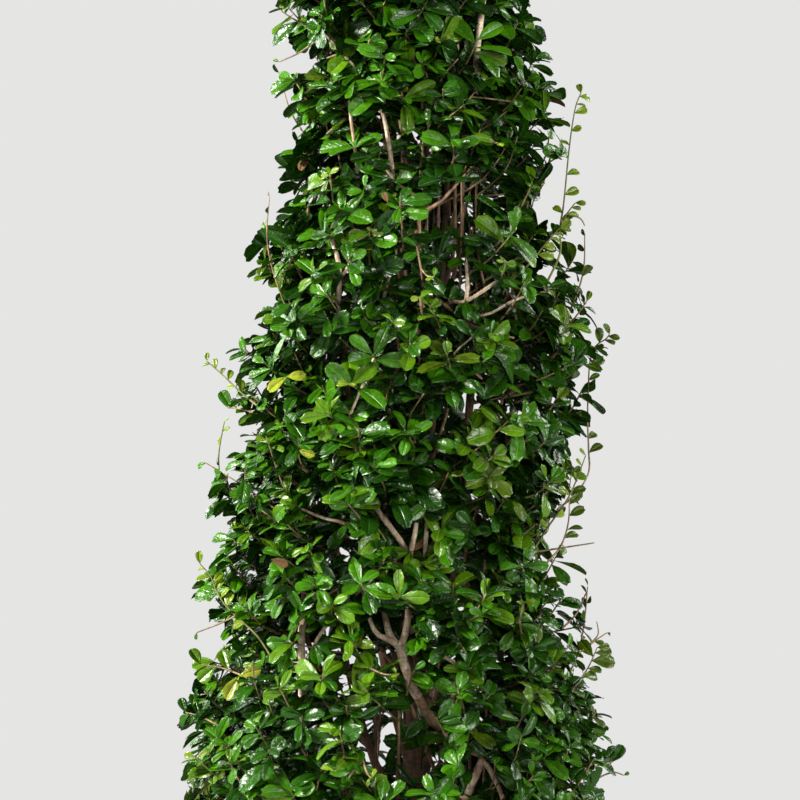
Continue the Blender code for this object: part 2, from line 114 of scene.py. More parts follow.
RAGGED_SCALE = 38
FOUR_CORNERS = ("right_back", "left_back", "left_front", "right_front")
FOUR_SIDES = ("right", "back", "left", "front")
THREE_SIDES = ("right", "left", "front")
TIERS = (
    ("skirt", 0.345, 49, 8, FOUR_CORNERS),
    ("lower", 0.600, -9, 8, FOUR_SIDES),
    ("middle", 0.860, 7, 8, FOUR_SIDES),
    ("upper", 1.120, 30, 7, THREE_SIDES),
    ("high", 1.360, 22, 7, THREE_SIDES),
    ("top", 1.590, 0, 9, ("crown",)),
)
CROWN_TOP = 1.850
BOUGH_RULES = {
    "skirt": (0.298, 0.011, 0.405, 0.0050),
    "lower": (0.375, 0.014, 0.655, 0.0060),
    "middle": (0.425, 0.022, 0.915, 0.0052),
    "upper": (0.620, 0.040, 1.170, 0.0036),
    "high": (0.900, 0.040, 1.405, 0.0028),
}
BOUGH_TIP_RADIUS = 0.0024
BOUGH_TIP_SHARE = 0.365
BOUGH_FIRST_BEND = (0.50, 0.22)
BOUGH_SECOND_BEND = (0.22, 0.42)
BOUGH_SWAY = 0.010
BOUGH_COLLAR = 0.45
BOUGH_COLLAR_FALL = 18
BOUGH_POINTS = 44
SWUNG_BOUGH = "lower_front"
SWUNG_FOOT_HEIGHT = 0.342
SWUNG_BENDS = ((0.068, -0.014, 0.430), (0.045, -0.066, 0.530))
SWUNG_TIP_HEIGHT = 0.622
SWUNG_RADII = (0.0070, 0.0044)
FULL_REACH = 0.185
LEAST_SIZE = 0.38
TWIG_RADIUS = 0.0032
TWIG_PAST_LEAVES = 0.005
TWIG_DEPTH = 0.036
TWIG_SPREAD = 0.86
TWIG_RISE = 0.90
TWIG_SAG = 0.10
STEM_RADIUS = 0.0042
STEM_STRAIGHT = 0.012
STEM_BEND = (-0.25, 0.60)
STEM_TIP = (0.5, 0.74)
TOP_STEM_HEIGHTS = (1.66, 1.75, 1.82)
GOLDEN_ANGLE = math.radians(137.508)

# Finer growth, in numbers for each mass or, for fine twigs, for each square metre of clipped surface.
# Shares are of the reach, or of the length of the limb; pairs are the least and the most.
LEAVES_PROUD = 0.007
FARTHEST_IN_FRONT = 0.236
SHARPEST_BEND = 0.35
TOP_LEADER = 0.14
TOP_TWIGS_MORE = 1.35
TOP_LEAVES_SMALLER = 0.72
UPRIGHTS = 4
UPRIGHT_FEET = (0.35, 0.85)
UPRIGHT_SPREAD = 0.85
UPRIGHT_SHARES = (0.44, 0.66)
UPRIGHT_TOPS = (0.5, 0.95)
UPRIGHT_WANDER = 0.010
UPRIGHT_RADII = (0.0014, 0.0026)
CROSSING_TWIGS = 3
CROSSING_SWING = (0.06, 0.40)
CROSSING_CLIMB = (0.1, 0.5)
CROSSING_SHARES = (0.78, 0.92)
CROSSING_DEPTHS = (-0.002, 0.012)
CROSSING_RADII = (0.0012, 0.0018)
CROSSING_BARKS = ("stems", "twigs", "twigs", "shoots")
CROSSING_LEAVES = 5
CROSSING_LEAF = 0.024
INNER_LEAN = 0.8
FINE_TWIGS_PER_AREA = 860
FINE_TWIG_DEPTHS = (0.003, 0.032)
FINE_TWIG_RADII = (0.0013, 0.0007)
FINE_TWIG_FOOT_IN = 0.055
FINE_TWIG_FOOT_DOWN = 0.035
FINE_TWIG_BOW = 0.10
FINE_TWIG_SAG = 0.06
FINE_TWIG_ASIDE = 0.18
FINE_TWIG_LEAN = 0.62
GREEN_TWIGS = 0.18
UNEVEN_DEPTH = 0.036
UNEVEN_SCALE = 15
SPRAYS_ON_TWIG = (1.0, 0.82, 0.62, 0.40)
SHORT_TWIG = 0.05
SPRAYS_ON_SHORT_TWIG = 3
HOLLOW_SCALE = 19
HOLLOW_LEVEL = -0.22
HOLLOW_SHARE = 0.85
HOLLOW_SHIFT = Vector((3.7, 1.9, 8.2))

# Leaves in a spray: lengths, how they lie, and how their widths differ. The first is the oldest.
LEAF_LONGEST = 0.042
LEAF_SHORTEST = 0.0235
HUNG_LEAF = 0.032
HUNG_LEAN = 0.5
HUNG_TWIG_RADII = (0.0012, 0.0008)
YOUNG_LEAF = 0.013
YOUNG_LEAF_SIZES = (0.7, 1.1)
OLD_ENOUGH = 0.55
LENGTH_AT_LEAST = 0.55
LENGTH_BY_AGE = 0.45
LENGTH_SIZES = (0.72, 1.12)
LARGER_LEAVES = (1.00, 1.10, 1.08)
LEAF_SPACINGS = (0.0018, 0.0030, 0.0042)
LEAST_LIFT = 6
LIFT_BY_YOUTH = 44
LIFT_SPREAD = (-0.40, 0.35)
LEAF_LEVEL = 0.64
LEAF_RISE = 0.05
LEAF_DROOP = 0.22
LEAF_ROLL = 0.7
LEAF_TRIES = 3
TURN_BETWEEN_TRIES = 0.9
TURN_SPREAD = 0.4
LEAF_WIDTHS = (0.74, 1.06)
SMALL_LEAF = 0.022
SMALL_LEAF_WIDER = 0.20
TURNED_SHARE = 0.005
TURNED_LENGTH = 0.65
MOST_LEAVES_IN_A_PIECE = 7000

# The viewer stands level with the middle of the crown
VIEW_DISTANCE = 2.6
VIEW_SIDE = -0.005
VIEW_HEIGHT = 0.860
VIEW_WIDTH = 0.84


# The crown's rule

def reach(height, azimuth):
    """Distance from the crown's axis to its clipped outline."""
    heights, left, right = zip(*CROWN_OUTLINE)
    to_left = np.interp(height, heights, left)
    to_right = np.interp(height, heights, right)
    return float(to_left + (to_right - to_left) * (1 + math.cos(azimuth)) / 2)


def outward(azimuth):
    return Vector((math.cos(azimuth), math.sin(azimuth), 0))


def seam(level, azimuth):
    """Height of the border between two tiers, which rises and falls round the crown."""
    return level + SEAM_WAVE * math.sin(2 * azimuth + 9 * level)


def trunk_centre(height):
    t = (height - SOIL_LEVEL) / (TRUNK_TOP - SOIL_LEVEL)
    sideways = TRUNK_BEND * math.sin(math.pi * min(1, 2.6 * t)) * math.exp(-1.2 * t)
    return Vector((sideways, 0.4 * TRUNK_BEND * math.sin(5 * t), height))


def trunk_radius(height):
    t = max(0, (height - SOIL_LEVEL) / (TRUNK_TOP - SOIL_LEVEL))
    taper = TRUNK_FOOT_RADIUS + (TRUNK_TIP_RADIUS - TRUNK_FOOT_RADIUS) * t**0.75
    return taper + FLARE_RADIUS * math.exp(-(height - SOIL_LEVEL) / FLARE_HEIGHT)


def facing_out(point):
    """The direction that the clipped surface faces near a point, turned up a little."""
    azimuth = math.atan2(point.y, point.x)
    step = 0.02
    slope = reach(point.z + step, azimuth) - reach(point.z - step, azimuth)
    slope = max(-1.5, min(0.2, slope / (2 * step)))
    return (outward(azimuth) + Vector((0, 0, 0.15 - slope))).normalized()


def even_spread(count, seed):
    """Pairs from -1 to 1 that cover a square evenly, by steps that never line up."""
    for index in range(count):
        first = (0.5 + 0.1731 * seed + index * 0.7548777) % 1
        second = (0.5 + 0.3317 * seed + index * 0.5698403) % 1
        yield 2 * first - 1, 2 * second - 1


class Space:
    """The part of the crown that one mass of foliage keeps to."""

    def __init__(self, tier, sector):
        self.tier, low, turn, self.twigs, sides = TIERS[tier]
        self.name = f"{self.tier}_{sides[sector]}"
        self.low = low
        self.high = TIERS[tier + 1][1] if tier + 1 < len(TIERS) else CROWN_TOP + PROUD
        self.first_tier = tier == 0
        self.last_tier = tier + 1 == len(TIERS)
        self.half = math.pi / len(sides)
        self.azimuth = math.radians(turn) + 2 * self.half * sector
        self.seed = 10 * tier + sector
        self.sector = sector

    def floor_at(self, azimuth):
        return self.low if self.first_tier else seam(self.low, azimuth)

    def ceiling_at(self, azimuth):
        return self.high if self.last_tier else seam(self.high, azimuth)

    def point(self, sideways, upwards, share):
        azimuth = self.azimuth + sideways * self.half
        low = self.floor_at(azimuth)
        height = low + (self.ceiling_at(azimuth) - low) * (upwards + 1) / 2
        found = outward(azimuth) * (share * reach(height, azimuth))
        found.z = height
        return found

    def holds(self, point, lap):
        azimuth = math.atan2(point.y, point.x)
        radius = math.hypot(point.x, point.y)
        if not self.last_tier:
            off = (azimuth - self.azimuth + math.pi) % (2 * math.pi) - math.pi
            if radius * math.sin(min(math.pi / 2, abs(off) - self.half)) > lap:
                return False
            if radius < BARE_SHARE * reach(point.z, azimuth) * 0.9:
                return False
        if point.z < self.floor_at(azimuth) - (PROUD if self.first_tier else lap):
            return False
        if point.z > self.ceiling_at(azimuth) + lap:
            return False
        if abs(point.y) > FARTHEST_IN_FRONT:
            return False
        ragged = PROUD * (1 + RAGGED * noise.noise(point * RAGGED_SCALE))
        return radius < reach(point.z, azimuth) + ragged + LEAVES_PROUD

    def area(self):
        """Clipped surface of the mass, near enough."""
        middle = (self.low + self.high) / 2
        return 2 * self.half * reach(middle, self.azimuth) * (self.high - self.low)


def crown_spaces():
    return [Space(tier, sector) for tier, rules in enumerate(TIERS) for sector in range(len(rules[-1]))]


def cubic_path(corners, count):
    """Points evenly along the cubic curve with these four control points."""
    a, b, c, d = corners
    path = []
    for step in range(count):
        t = step / (count - 1)
        s = 1 - t
        path.append(a * s**3 + b * (3 * s * s * t) + c * (3 * s * t * t) + d * t**3)
    return path


def rounded_path(points, steps):
    """A smooth line through all the points."""
    path = []
    last = len(points) - 1
    for index in range(last):
        p0 = points[max(index - 1, 0)]
        p1 = points[index]
        p2 = points[index + 1]
        p3 = points[min(index + 2, last)]
        for step in range(steps):
            t = step / steps
            path.append(
                p1 + (p2 - p0) * (0.5 * t)
                + (p0 * 2 - p1 * 5 + p2 * 4 - p3) * (0.5 * t * t)
                + (p1 * 3 - p0 - p2 * 3 + p3) * (0.5 * t**3)
            )
    path.append(points[last].copy())
    return path


def bough_path(space, count):
    foot_height, step, tip_height, _ = BOUGH_RULES[space.tier]
    swung = space.name == SWUNG_BOUGH
    if swung:
        foot_height, step, tip_height = SWUNG_FOOT_HEIGHT, 0, SWUNG_TIP_HEIGHT
    start = trunk_centre(foot_height + step * space.sector)
    azimuth = space.azimuth
    tip = outward(azimuth) * (BOUGH_TIP_SHARE * reach(tip_height, azimuth))
    tip.z = tip_height
    rise = tip.z - start.z
    run = Vector((tip.x - start.x, tip.y - start.y, 0))
    up = Vector((0, 0, rise))
    aside = up.normalized().cross(outward(azimuth)) * (BOUGH_SWAY * math.sin(2.4 * space.seed))
    first = start + run * BOUGH_FIRST_BEND[0] + up * BOUGH_FIRST_BEND[1] + aside
    second = tip - run * BOUGH_SECOND_BEND[0] - up * BOUGH_SECOND_BEND[1] + aside * 0.8
    if swung:
        first, second = [Vector(bend) for bend in SWUNG_BENDS]
    return cubic_path((start, first, second, tip), count)


def stem_corners(space, foot, direction):
    if space.last_tier:
        return [Vector((foot.x, foot.y, height)) for height in (foot.z, *TOP_STEM_HEIGHTS)]
    straight = foot + direction * STEM_STRAIGHT
    return [foot, straight, space.point(0, *STEM_BEND), space.point(0, *STEM_TIP)]


def stem_place(space, stem, upwards):
    """Where on the stem a twig leaves it."""
    share = max(0.0, min(1.0, (upwards + 1) / 2))
    if space.last_tier:
        return stem[1].lerp(stem[3], 0.85 * share)
    return stem[2].lerp(stem[3], share)


# What grows: limbs as lines with a radius at each point, and leaves as places

def toward_viewer(x, z, y):
    """The place at depth y that is seen at x and z on the upright plane through the trunk."""
    share = (VIEW_DISTANCE + y) / VIEW_DISTANCE
    return Vector((VIEW_SIDE + (x - VIEW_SIDE) * share, y, VIEW_HEIGHT + (z - VIEW_HEIGHT) * share))


def on_front(x, z):
    """The place on the clipped surface in front that is seen at x and z."""
    place = toward_viewer(x, z, -0.15)
    for _ in range(5):
        far = reach(place.z, math.atan2(place.y, place.x))
        place = toward_viewer(x, z, -math.sqrt(max(0.0004, far * far - place.x**2)))
    return place


def seen_place(place):
    """Where a place is seen on the upright plane through the trunk."""
    share = VIEW_DISTANCE / (VIEW_DISTANCE + place.y)
    return (VIEW_SIDE + (place.x - VIEW_SIDE) * share, VIEW_HEIGHT + (place.z - VIEW_HEIGHT) * share)


# Limbs that show through the leaves in front: places as seen (x, z) with their depth, first and last
# radius, and how far the leaves in front keep off. The last place is out of sight. First the forked
# limb, grown on from the swung bough, then single ones that come from deeper in the crown.
FORKED_LIMB = {
    "front_limb": ((
        (0.0135, 0.550, -0.104), (0.0074, 0.561, -0.112), (0.000, 0.581, -0.122),
        (-0.006, 0.605, -0.128)), (0.0052, 0.0046), 0.008),
    "fork_left": ((
        (-0.006, 0.601, -0.127), (-0.016, 0.608, -0.130), (-0.028, 0.614, -0.132),
        (-0.036, 0.628, -0.128), (-0.046, 0.668, -0.110)), (0.0034, 0.0018), 0.009),
    "fork_middle": ((
        (-0.006, 0.601, -0.126), (-0.015, 0.612, -0.122), (-0.020, 0.630, -0.114),
        (-0.028, 0.680, -0.090)), (0.0042, 0.0024), 0.009),
    "fork_right": ((
        (-0.005, 0.598, -0.127), (0.000, 0.613, -0.130), (0.0035, 0.635, -0.126),
        (0.008, 0.690, -0.100)), (0.0040, 0.0026), 0.008),
}
SINGLE_LIMBS = {
    "high_stem": ((
        (0.075, 1.212, -0.064), (0.077, 1.235, -0.070), (0.080, 1.262, -0.070),
        (0.083, 1.290, -0.062)), (0.0036, 0.0030), 0.009),
    "high_stem_left": ((
        (0.055, 1.216, -0.060), (0.056, 1.240, -0.064), (0.058, 1.270, -0.058)),
        (0.0018, 0.0014), 0.006),
    "left_high_stem": ((
        (-0.013, 1.096, -0.094), (-0.017, 1.130, -0.102), (-0.022, 1.158, -0.101),
        (-0.032, 1.190, -0.090)), (0.0027, 0.0020), 0.007),
    "left_twig": ((
        (-0.052, 1.122, -0.092), (-0.056, 1.150, -0.096), (-0.059, 1.182, -0.088)),
        (0.0019, 0.0014), 0.006),
    "slanting_twig": ((
        (-0.046, 1.200, -0.088), (-0.062, 1.220, -0.096), (-0.086, 1.246, -0.090)),
        (0.0016, 0.0011), 0.005),
    "middle_fork": ((
        (0.002, 0.700, -0.110), (-0.012, 0.722, -0.126), (-0.028, 0.744, -0.131),
        (-0.046, 0.772, -0.120)), (0.0036, 0.0024), 0.008),
    "middle_fork_right": ((
        (0.006, 0.698, -0.116), (0.011, 0.722, -0.126), (0.013, 0.744, -0.122)),
        (0.0032, 0.0022), 0.007),
    "middle_upright": ((
        (0.021, 0.692, -0.110), (0.023, 0.726, -0.122), (0.026, 0.762, -0.112)),
        (0.0026, 0.0020), 0.006),
    "middle_twig": ((
        (-0.060, 0.728, -0.130), (-0.085, 0.736, -0.138), (-0.114, 0.748, -0.128)),
        (0.0021, 0.0012), 0.005),
    "low_left_stem": ((
        (-0.108, 0.580, -0.100), (-0.109, 0.608, -0.112), (-0.106, 0.634, -0.108)),
        (0.0044, 0.0036), 0.007),
    "low_left_twig": ((
        (-0.096, 0.600, -0.122), (-0.086, 0.618, -0.128), (-0.076, 0.634, -0.120)),
        (0.0022, 0.0015), 0.005),
    "low_middle_twig": ((
        (-0.052, 0.654, -0.118), (-0.036, 0.670, -0.128), (-0.020, 0.688, -0.120)),
        (0.0016, 0.0011), 0.004),
    "low_right_knot": ((
        (0.034, 0.580, -0.120), (0.040, 0.590, -0.132), (0.052, 0.584, -0.134),
        (0.062, 0.580, -0.124)), (0.0026, 0.0016), 0.006),
    "low_right_stem": ((
        (0.060, 0.426, -0.112), (0.066, 0.446, -0.122), (0.075, 0.467, -0.128),
        (0.081, 0.482, -0.128), (0.086, 0.502, -0.112)), (0.0042, 0.0034), 0.010),
    "low_right_fork": ((
        (0.104, 0.436, -0.116), (0.099, 0.453, -0.126), (0.088, 0.474, -0.129),
        (0.080, 0.484, -0.124)), (0.0030, 0.0024), 0.008),
    "upper_left_stem": ((
        (-0.070, 0.960, -0.104), (-0.069, 0.980, -0.116), (-0.070, 1.006, -0.116),
        (-0.077, 1.030, -0.104)), (0.0032, 0.0022), 0.007),
    "upper_left_branch": ((
        (-0.069, 0.984, -0.112), (-0.062, 0.996, -0.116), (-0.050, 1.016, -0.108)),
        (0.0022, 0.0014), 0.005),
    "upper_middle_stem": ((
        (-0.020, 0.976, -0.110), (-0.012, 1.004, -0.122), (-0.012, 1.034, -0.112)),
        (0.0020, 0.0014), 0.005),
    "left_long_twig": ((
        (-0.058, 0.842, -0.136), (-0.042, 0.880, -0.146), (-0.022, 0.930, -0.134)),
        (0.0016, 0.0011), 0.004),
    "right_knot": ((
        (0.046, 0.962, -0.104), (0.062, 0.963, -0.120), (0.080, 0.973, -0.122),
        (0.102, 0.988, -0.104)), (0.0026, 0.0016), 0.006),
    "right_knot_upright": ((
        (0.064, 0.962, -0.118), (0.066, 0.980, -0.112), (0.064, 1.006, -0.092)),
        (0.0024, 0.0016), 0.005),
    "right_twig": ((
        (0.064, 0.942, -0.104), (0.092, 0.952, -0.112), (0.118, 0.966, -0.104),
        (0.150, 0.974, -0.074)), (0.0017, 0.0012), 0.004),
    "centre_twig": ((
        (0.040, 0.892, -0.136), (0.055, 0.912, -0.146), (0.071, 0.926, -0.136)),
        (0.0012, 0.0009), 0.004),
    "centre_stem": ((
        (-0.010, 0.885, -0.106), (-0.005, 0.906, -0.118), (-0.007, 0.926, -0.116),
        (-0.004, 0.956, -0.098)), (0.0022, 0.0016), 0.005),
}
# A single limb's foot, deeper in, goes on from its first two places; sprays hide its two ends
HIDDEN_FOOT_DOWN = 0.02
HIDDEN_FOOT_DEPTH = 0.55
END_SPRAY_UP = 0.004
END_SPRAY_NEARER = 0.014
# The foot of the forked limb, from the swung bough, in the darker stem bark: a painted shade below the pale
# limb it carries
LIMB_FOOT = (
    (0.043, 0.466, -0.034), (0.053, 0.486, -0.046), (0.052, 0.500, -0.060), (0.043, 0.510, -0.070),
    (0.030, 0.522, -0.082), (0.0205, 0.536, -0.094), (0.0105, 0.555, -0.108), (0.004, 0.570, -0.112),
)
LIMB_FOOT_RADII = (0.0054, 0.0048)
LIMB_FOOT_BARE = LIMB_FOOT[3:7]
LIMB_FOOT_CLEAR = 0.006
# Dark uprights deeper in, in the boughs' bark darkened as painted shade: in the dark place high on the
# right, and low down in front
DARK_UPRIGHT_RADII = (0.0025, 0.0015)
DARK_UPRIGHTS = (
    ((0.010, 0.930, -0.010), (0.032, 0.990, -0.046), (0.035, 1.050, -0.062), (0.036, 1.130, -0.050)),
    ((0.030, 0.940, -0.010), (0.050, 1.010, -0.050), (0.0525, 1.070, -0.066), (0.052, 1.140, -0.050)),
    ((0.040, 0.950, -0.010), (0.058, 1.020, -0.046), (0.0605, 1.075, -0.060), (0.064, 1.140, -0.046)),
    ((-0.024, 0.360, -0.030), (-0.029, 0.450, -0.086), (-0.031, 0.490, -0.092), (-0.030, 0.560, -0.080)),
    ((-0.004, 0.350, -0.030), (-0.007, 0.440, -0.080), (-0.006, 0.490, -0.086), (-0.002, 0.570, -0.070)),
    ((0.040, 0.360, -0.030), (0.046, 0.430, -0.070), (0.052, 0.470, -0.080), (0.060, 0.540, -0.076)),
)
# The trunk shows low down in front: seen x, lowest and highest seen z, and how far leaves keep off
TRUNK_SHOWS = (0.010, 0.464, 0.486, 0.005)
# Leaves hang in front of the trunk and the boughs here, as seen (x, z) with their depth
COVERED_PLACES = (
    (0.016, 0.514, -0.080), (0.027, 0.500, -0.078), (0.012, 0.452, -0.080), (0.030, 0.455, -0.074),
    (0.004, 0.503, -0.090), (0.020, 0.490, -0.088),
    (0.014, 0.562, -0.128), (0.004, 0.553, -0.128), (0.046, 0.505, -0.090), (-0.110, 0.557, -0.140),
)

# Long shoots past the clipped outline: places as seen (x, z) with their depth, leaf length, number
# of leaves, tint
WHIPS = (
    (((0.150, 0.985, -0.050), (0.163, 1.014, -0.045), (0.163, 1.041, -0.040), (0.167, 1.067, -0.032),
      (0.173, 1.127, -0.020), (0.179, 1.166, -0.008), (0.185, 1.182, 0.000)), 0.015, 11, "young"),
    (((0.163, 1.041, -0.040), (0.170, 1.055, -0.044), (0.179, 1.067, -0.046)), 0.012, 3, "young"),
    (((0.168, 1.050, -0.038), (0.1775, 1.053, -0.034), (0.185, 1.050, -0.034), (0.189, 1.043, -0.036)),
     0.008, 0, "mid"),
    (((0.110, 0.985, -0.090), (0.130, 1.002, -0.080), (0.148, 1.024, -0.062), (0.162, 1.040, -0.042)),
     0.014, 6, "young"),
    (((0.160, 0.745, -0.060), (0.180, 0.762, -0.040), (0.193, 0.784, -0.020), (0.193, 0.809, -0.005),
      (0.192, 0.842, 0.000), (0.193, 0.880, -0.008), (0.195, 0.903, -0.020), (0.201, 0.917, -0.030),
      (0.211, 0.924, -0.036), (0.215, 0.929, -0.040)), 0.014, 12, "olive"),
    (((0.150, 0.690, -0.080), (0.164, 0.707, -0.072), (0.172, 0.733, -0.060), (0.173, 0.767, -0.055),
      (0.176, 0.788, -0.060)), 0.015, 8, "olive"),
    (((0.135, 0.700, -0.060), (0.160, 0.704, -0.050), (0.199, 0.710, -0.040)), 0.010, 0, "mid"),
    (((0.165, 0.620, -0.040), (0.179, 0.634, -0.030), (0.187, 0.650, -0.034), (0.191, 0.657, -0.040),
      (0.190, 0.640, -0.044)), 0.008, 0, "mid"),
    (((0.175, 0.590, -0.040), (0.187, 0.597, -0.024), (0.201, 0.608, -0.012), (0.212, 0.6155, -0.004)),
     0.010, 2, "olive"),
    (((0.195, 0.604, -0.018), (0.203, 0.614, -0.012), (0.2015, 0.6275, -0.010)), 0.008, 0, "mid"),
    (((0.185, 0.452, -0.030), (0.205, 0.464, -0.016), (0.219, 0.469, -0.006), (0.230, 0.466, 0.000)),
     0.009, 2, "mid"),
    (((-0.150, 0.850, -0.070), (-0.172, 0.868, -0.050), (-0.192, 0.887, -0.036), (-0.208, 0.901, -0.030)),
     0.013, 7, "young"),
    (((-0.145, 0.842, -0.060), (-0.170, 0.850, -0.040), (-0.186, 0.852, -0.024)), 0.020, 4, "mid"),
    (((-0.130, 0.740, -0.080), (-0.150, 0.756, -0.060), (-0.176, 0.774, -0.036), (-0.209, 0.794, -0.020)),
     0.014, 2, "mid"),
    (((-0.140, 0.590, -0.110), (-0.153, 0.610, -0.104), (-0.168, 0.625, -0.094), (-0.187, 0.643, -0.080),
      (-0.198, 0.660, -0.070), (-0.204, 0.675, -0.062), (-0.215, 0.688, -0.056)), 0.015, 9, "young"),
    (((-0.160, 0.645, -0.060), (-0.186, 0.629, -0.044), (-0.218, 0.616, -0.030)), 0.012, 1, "mid"),
    (((-0.160, 0.566, -0.070), (-0.190, 0.578, -0.050), (-0.214, 0.582, -0.036)), 0.019, 4, "bright"),
    (((-0.190, 0.515, -0.050), (-0.213, 0.527, -0.030), (-0.230, 0.532, -0.020)), 0.022, 5, "deep"),
    (((0.176, 0.555, -0.040), (0.192, 0.578, -0.030), (0.202, 0.600, -0.026)), 0.020, 6, "olive"),
    (((0.180, 0.468, -0.040), (0.203, 0.476, -0.020), (0.218, 0.480, -0.010)), 0.020, 5, "deep"),
    (((-0.070, 1.244, -0.080), (-0.090, 1.238, -0.070), (-0.112, 1.224, -0.058), (-0.132, 1.215, -0.050)),
     0.010, 1, "mid"),
    (((-0.085, 1.236, -0.060), (-0.104, 1.252, -0.050), (-0.120, 1.262, -0.044), (-0.129, 1.268, -0.040)),
     0.012, 4, "young"),
)
WHIP_RADII = (0.0013, 0.0006)
# More of them at the sides and the back: how many, the direction of the first one and the turn
# from it to the last one in degrees, their heights, and the length of their leaves
STRAY_WHIPS = 16
STRAY_WHIPS_FROM = -35
STRAY_WHIPS_TURN = 250
STRAY_WHIP_LOWEST = 0.46
STRAY_WHIP_RANGE = 0.98
STRAY_WHIP_LEAF = 0.014
# Places on a stray whip: rise from its middle, and how far out of the clipped surface
STRAY_WHIP_PLACES = ((-0.080, -0.040), (-0.035, -0.008), (0.0, 0.010), (0.040, 0.018))

# Where the leaves are sparse: middle as seen (x, z), half sizes, share of the sprays left out
THIN_PLACES = (
    (-0.004, 0.500, 0.044, 0.036, 0.12),
    (0.046, 0.500, 0.024, 0.028, 0.25),
    (0.009, 1.085, 0.014, 0.018, 0.40),
    (-0.075, 1.010, 0.014, 0.018, 0.40),
    (0.075, 0.545, 0.016, 0.018, 0.40),
)
# Openings right through the crown, at its edges and low down: middle as seen (x, z), half sizes
OPEN_PLACES = (
    (0.160, 1.088, 0.011, 0.022),
    (0.146, 1.060, 0.011, 0.016),
    (-0.108, 1.214, 0.013, 0.012),
    (-0.146, 0.973, 0.013, 0.016),
    (-0.158, 0.934, 0.011, 0.008),
    (0.183, 0.812, 0.009, 0.016),
    (-0.118, 1.264, 0.012, 0.012),
    (0.152, 0.994, 0.013, 0.010),
    (0.156, 0.720, 0.010, 0.010),
    (0.188, 0.885, 0.008, 0.012),
    (-0.151, 0.869, 0.009, 0.006),
    (-0.178, 0.780, 0.010, 0.008),
    (0.210, 0.469, 0.010, 0.009),
    (-0.094, 1.229, 0.007, 0.008),
    (-0.122, 0.462, 0.005, 0.009),
    (-0.028, 1.162, 0.005, 0.014),
    (0.034, 0.477, 0.005, 0.006),
    (0.077, 0.503, 0.004, 0.008),
)
# Pockets where the outer leaves in front, nearer than this depth, keep off and the inside shows
POCKET_DEPTH = -0.070
POCKETS = (
    (0.083, 1.078, 0.052, 0.015),
    (-0.004, 0.502, 0.044, 0.034),
    (0.060, 1.000, 0.024, 0.013),
)
# Where outer leaves are missing and the dark inside shows, with the share that is missing
DARK_PLACES = (
    (0.0725, 1.080, 0.052, 0.034, 1.00),
    (0.002, 1.250, 0.024, 0.032, 0.65),
    (0.060, 1.250, 0.022, 0.034, 0.70),
    (0.005, 1.117, 0.020, 0.028, 0.70),
    (0.063, 1.005, 0.036, 0.026, 0.85),
    (0.045, 0.945, 0.028, 0.018, 0.75),
    (-0.005, 0.862, 0.022, 0.020, 0.75),
    (0.098, 0.867, 0.032, 0.024, 0.50),
    (-0.0105, 0.745, 0.022, 0.024, 0.80),
    (-0.153, 0.629, 0.016, 0.020, 0.60),
    (-0.0945, 0.776, 0.012, 0.022, 0.60),
    (0.068, 0.590, 0.030, 0.013, 0.60),
    (0.057, 0.523, 0.022, 0.020, 0.60),
    (-0.004, 0.500, 0.046, 0.038, 0.60),
    (0.110, 0.700, 0.026, 0.022, 0.50),
)

# Sprays that stand out in front: where as seen (x, z), tint, number and length of the leaves
COLOURED_SPRAYS = (
    (-0.181, 0.572, "yellow", 2, 0.024), (-0.126, 0.888, "yellow", 2, 0.022),
    (0.016, 0.968, "young", 2, 0.020), (-0.023, 1.067, "withered", 1, 0.014),
    (-0.146, 0.700, "withered", 1, 0.018), (0.1155, 0.795, "withered", 1, 0.020),
    (0.097, 1.130, "young", 2, 0.020), (0.031, 0.989, "young", 3, 0.014),
    (0.106, 1.005, "young", 5, 0.015), (0.1245, 0.648, "young", 4, 0.015),
    (0.127, 0.600, "young", 1, 0.020), (-0.006, 0.572, "young", 3, 0.012),
    (-0.0735, 0.470, "young", 2, 0.018), (-0.035, 0.463, "young", 2, 0.010),
    (-0.160, 0.585, "young", 3, 0.014), (0.062, 1.290, "young", 3, 0.012),
)

LEAF_TINTS = {
    # inner_painted_shade: leaves near black, a painted shade for the inside of the crown
    "inner_painted_shade": (0.009, 0.049, 0.001),
    "deep": (0.020, 0.098, 0.001),
    "mid": (0.050, 0.192, 0.002),
    "bright": (0.094, 0.222, 0.004),
    "olive": (0.078, 0.140, 0.004),
    "young": (0.200, 0.312, 0.011),
    "yellow": (0.300, 0.350, 0.016),
    "withered": (0.210, 0.110, 0.045),
}

# What share of the sprays, added up, takes each tint in each layer of the crown; the tints darken from
# layer to layer inwards, partly fresh growth outside, partly painted shade inside
TINT_SHARES = (
    ((0.040, "young"), (0.10, "olive"), (0.33, "bright"), (0.72, "mid"), (1.0, "deep")),
    ((0.010, "young"), (0.06, "olive"), (0.18, "bright"), (0.54, "mid"), (1.0, "deep")),
    ((0.08, "mid"), (0.45, "deep"), (1.0, "inner_painted_shade")),
    ((0.12, "deep"), (1.0, "inner_painted_shade")),
)


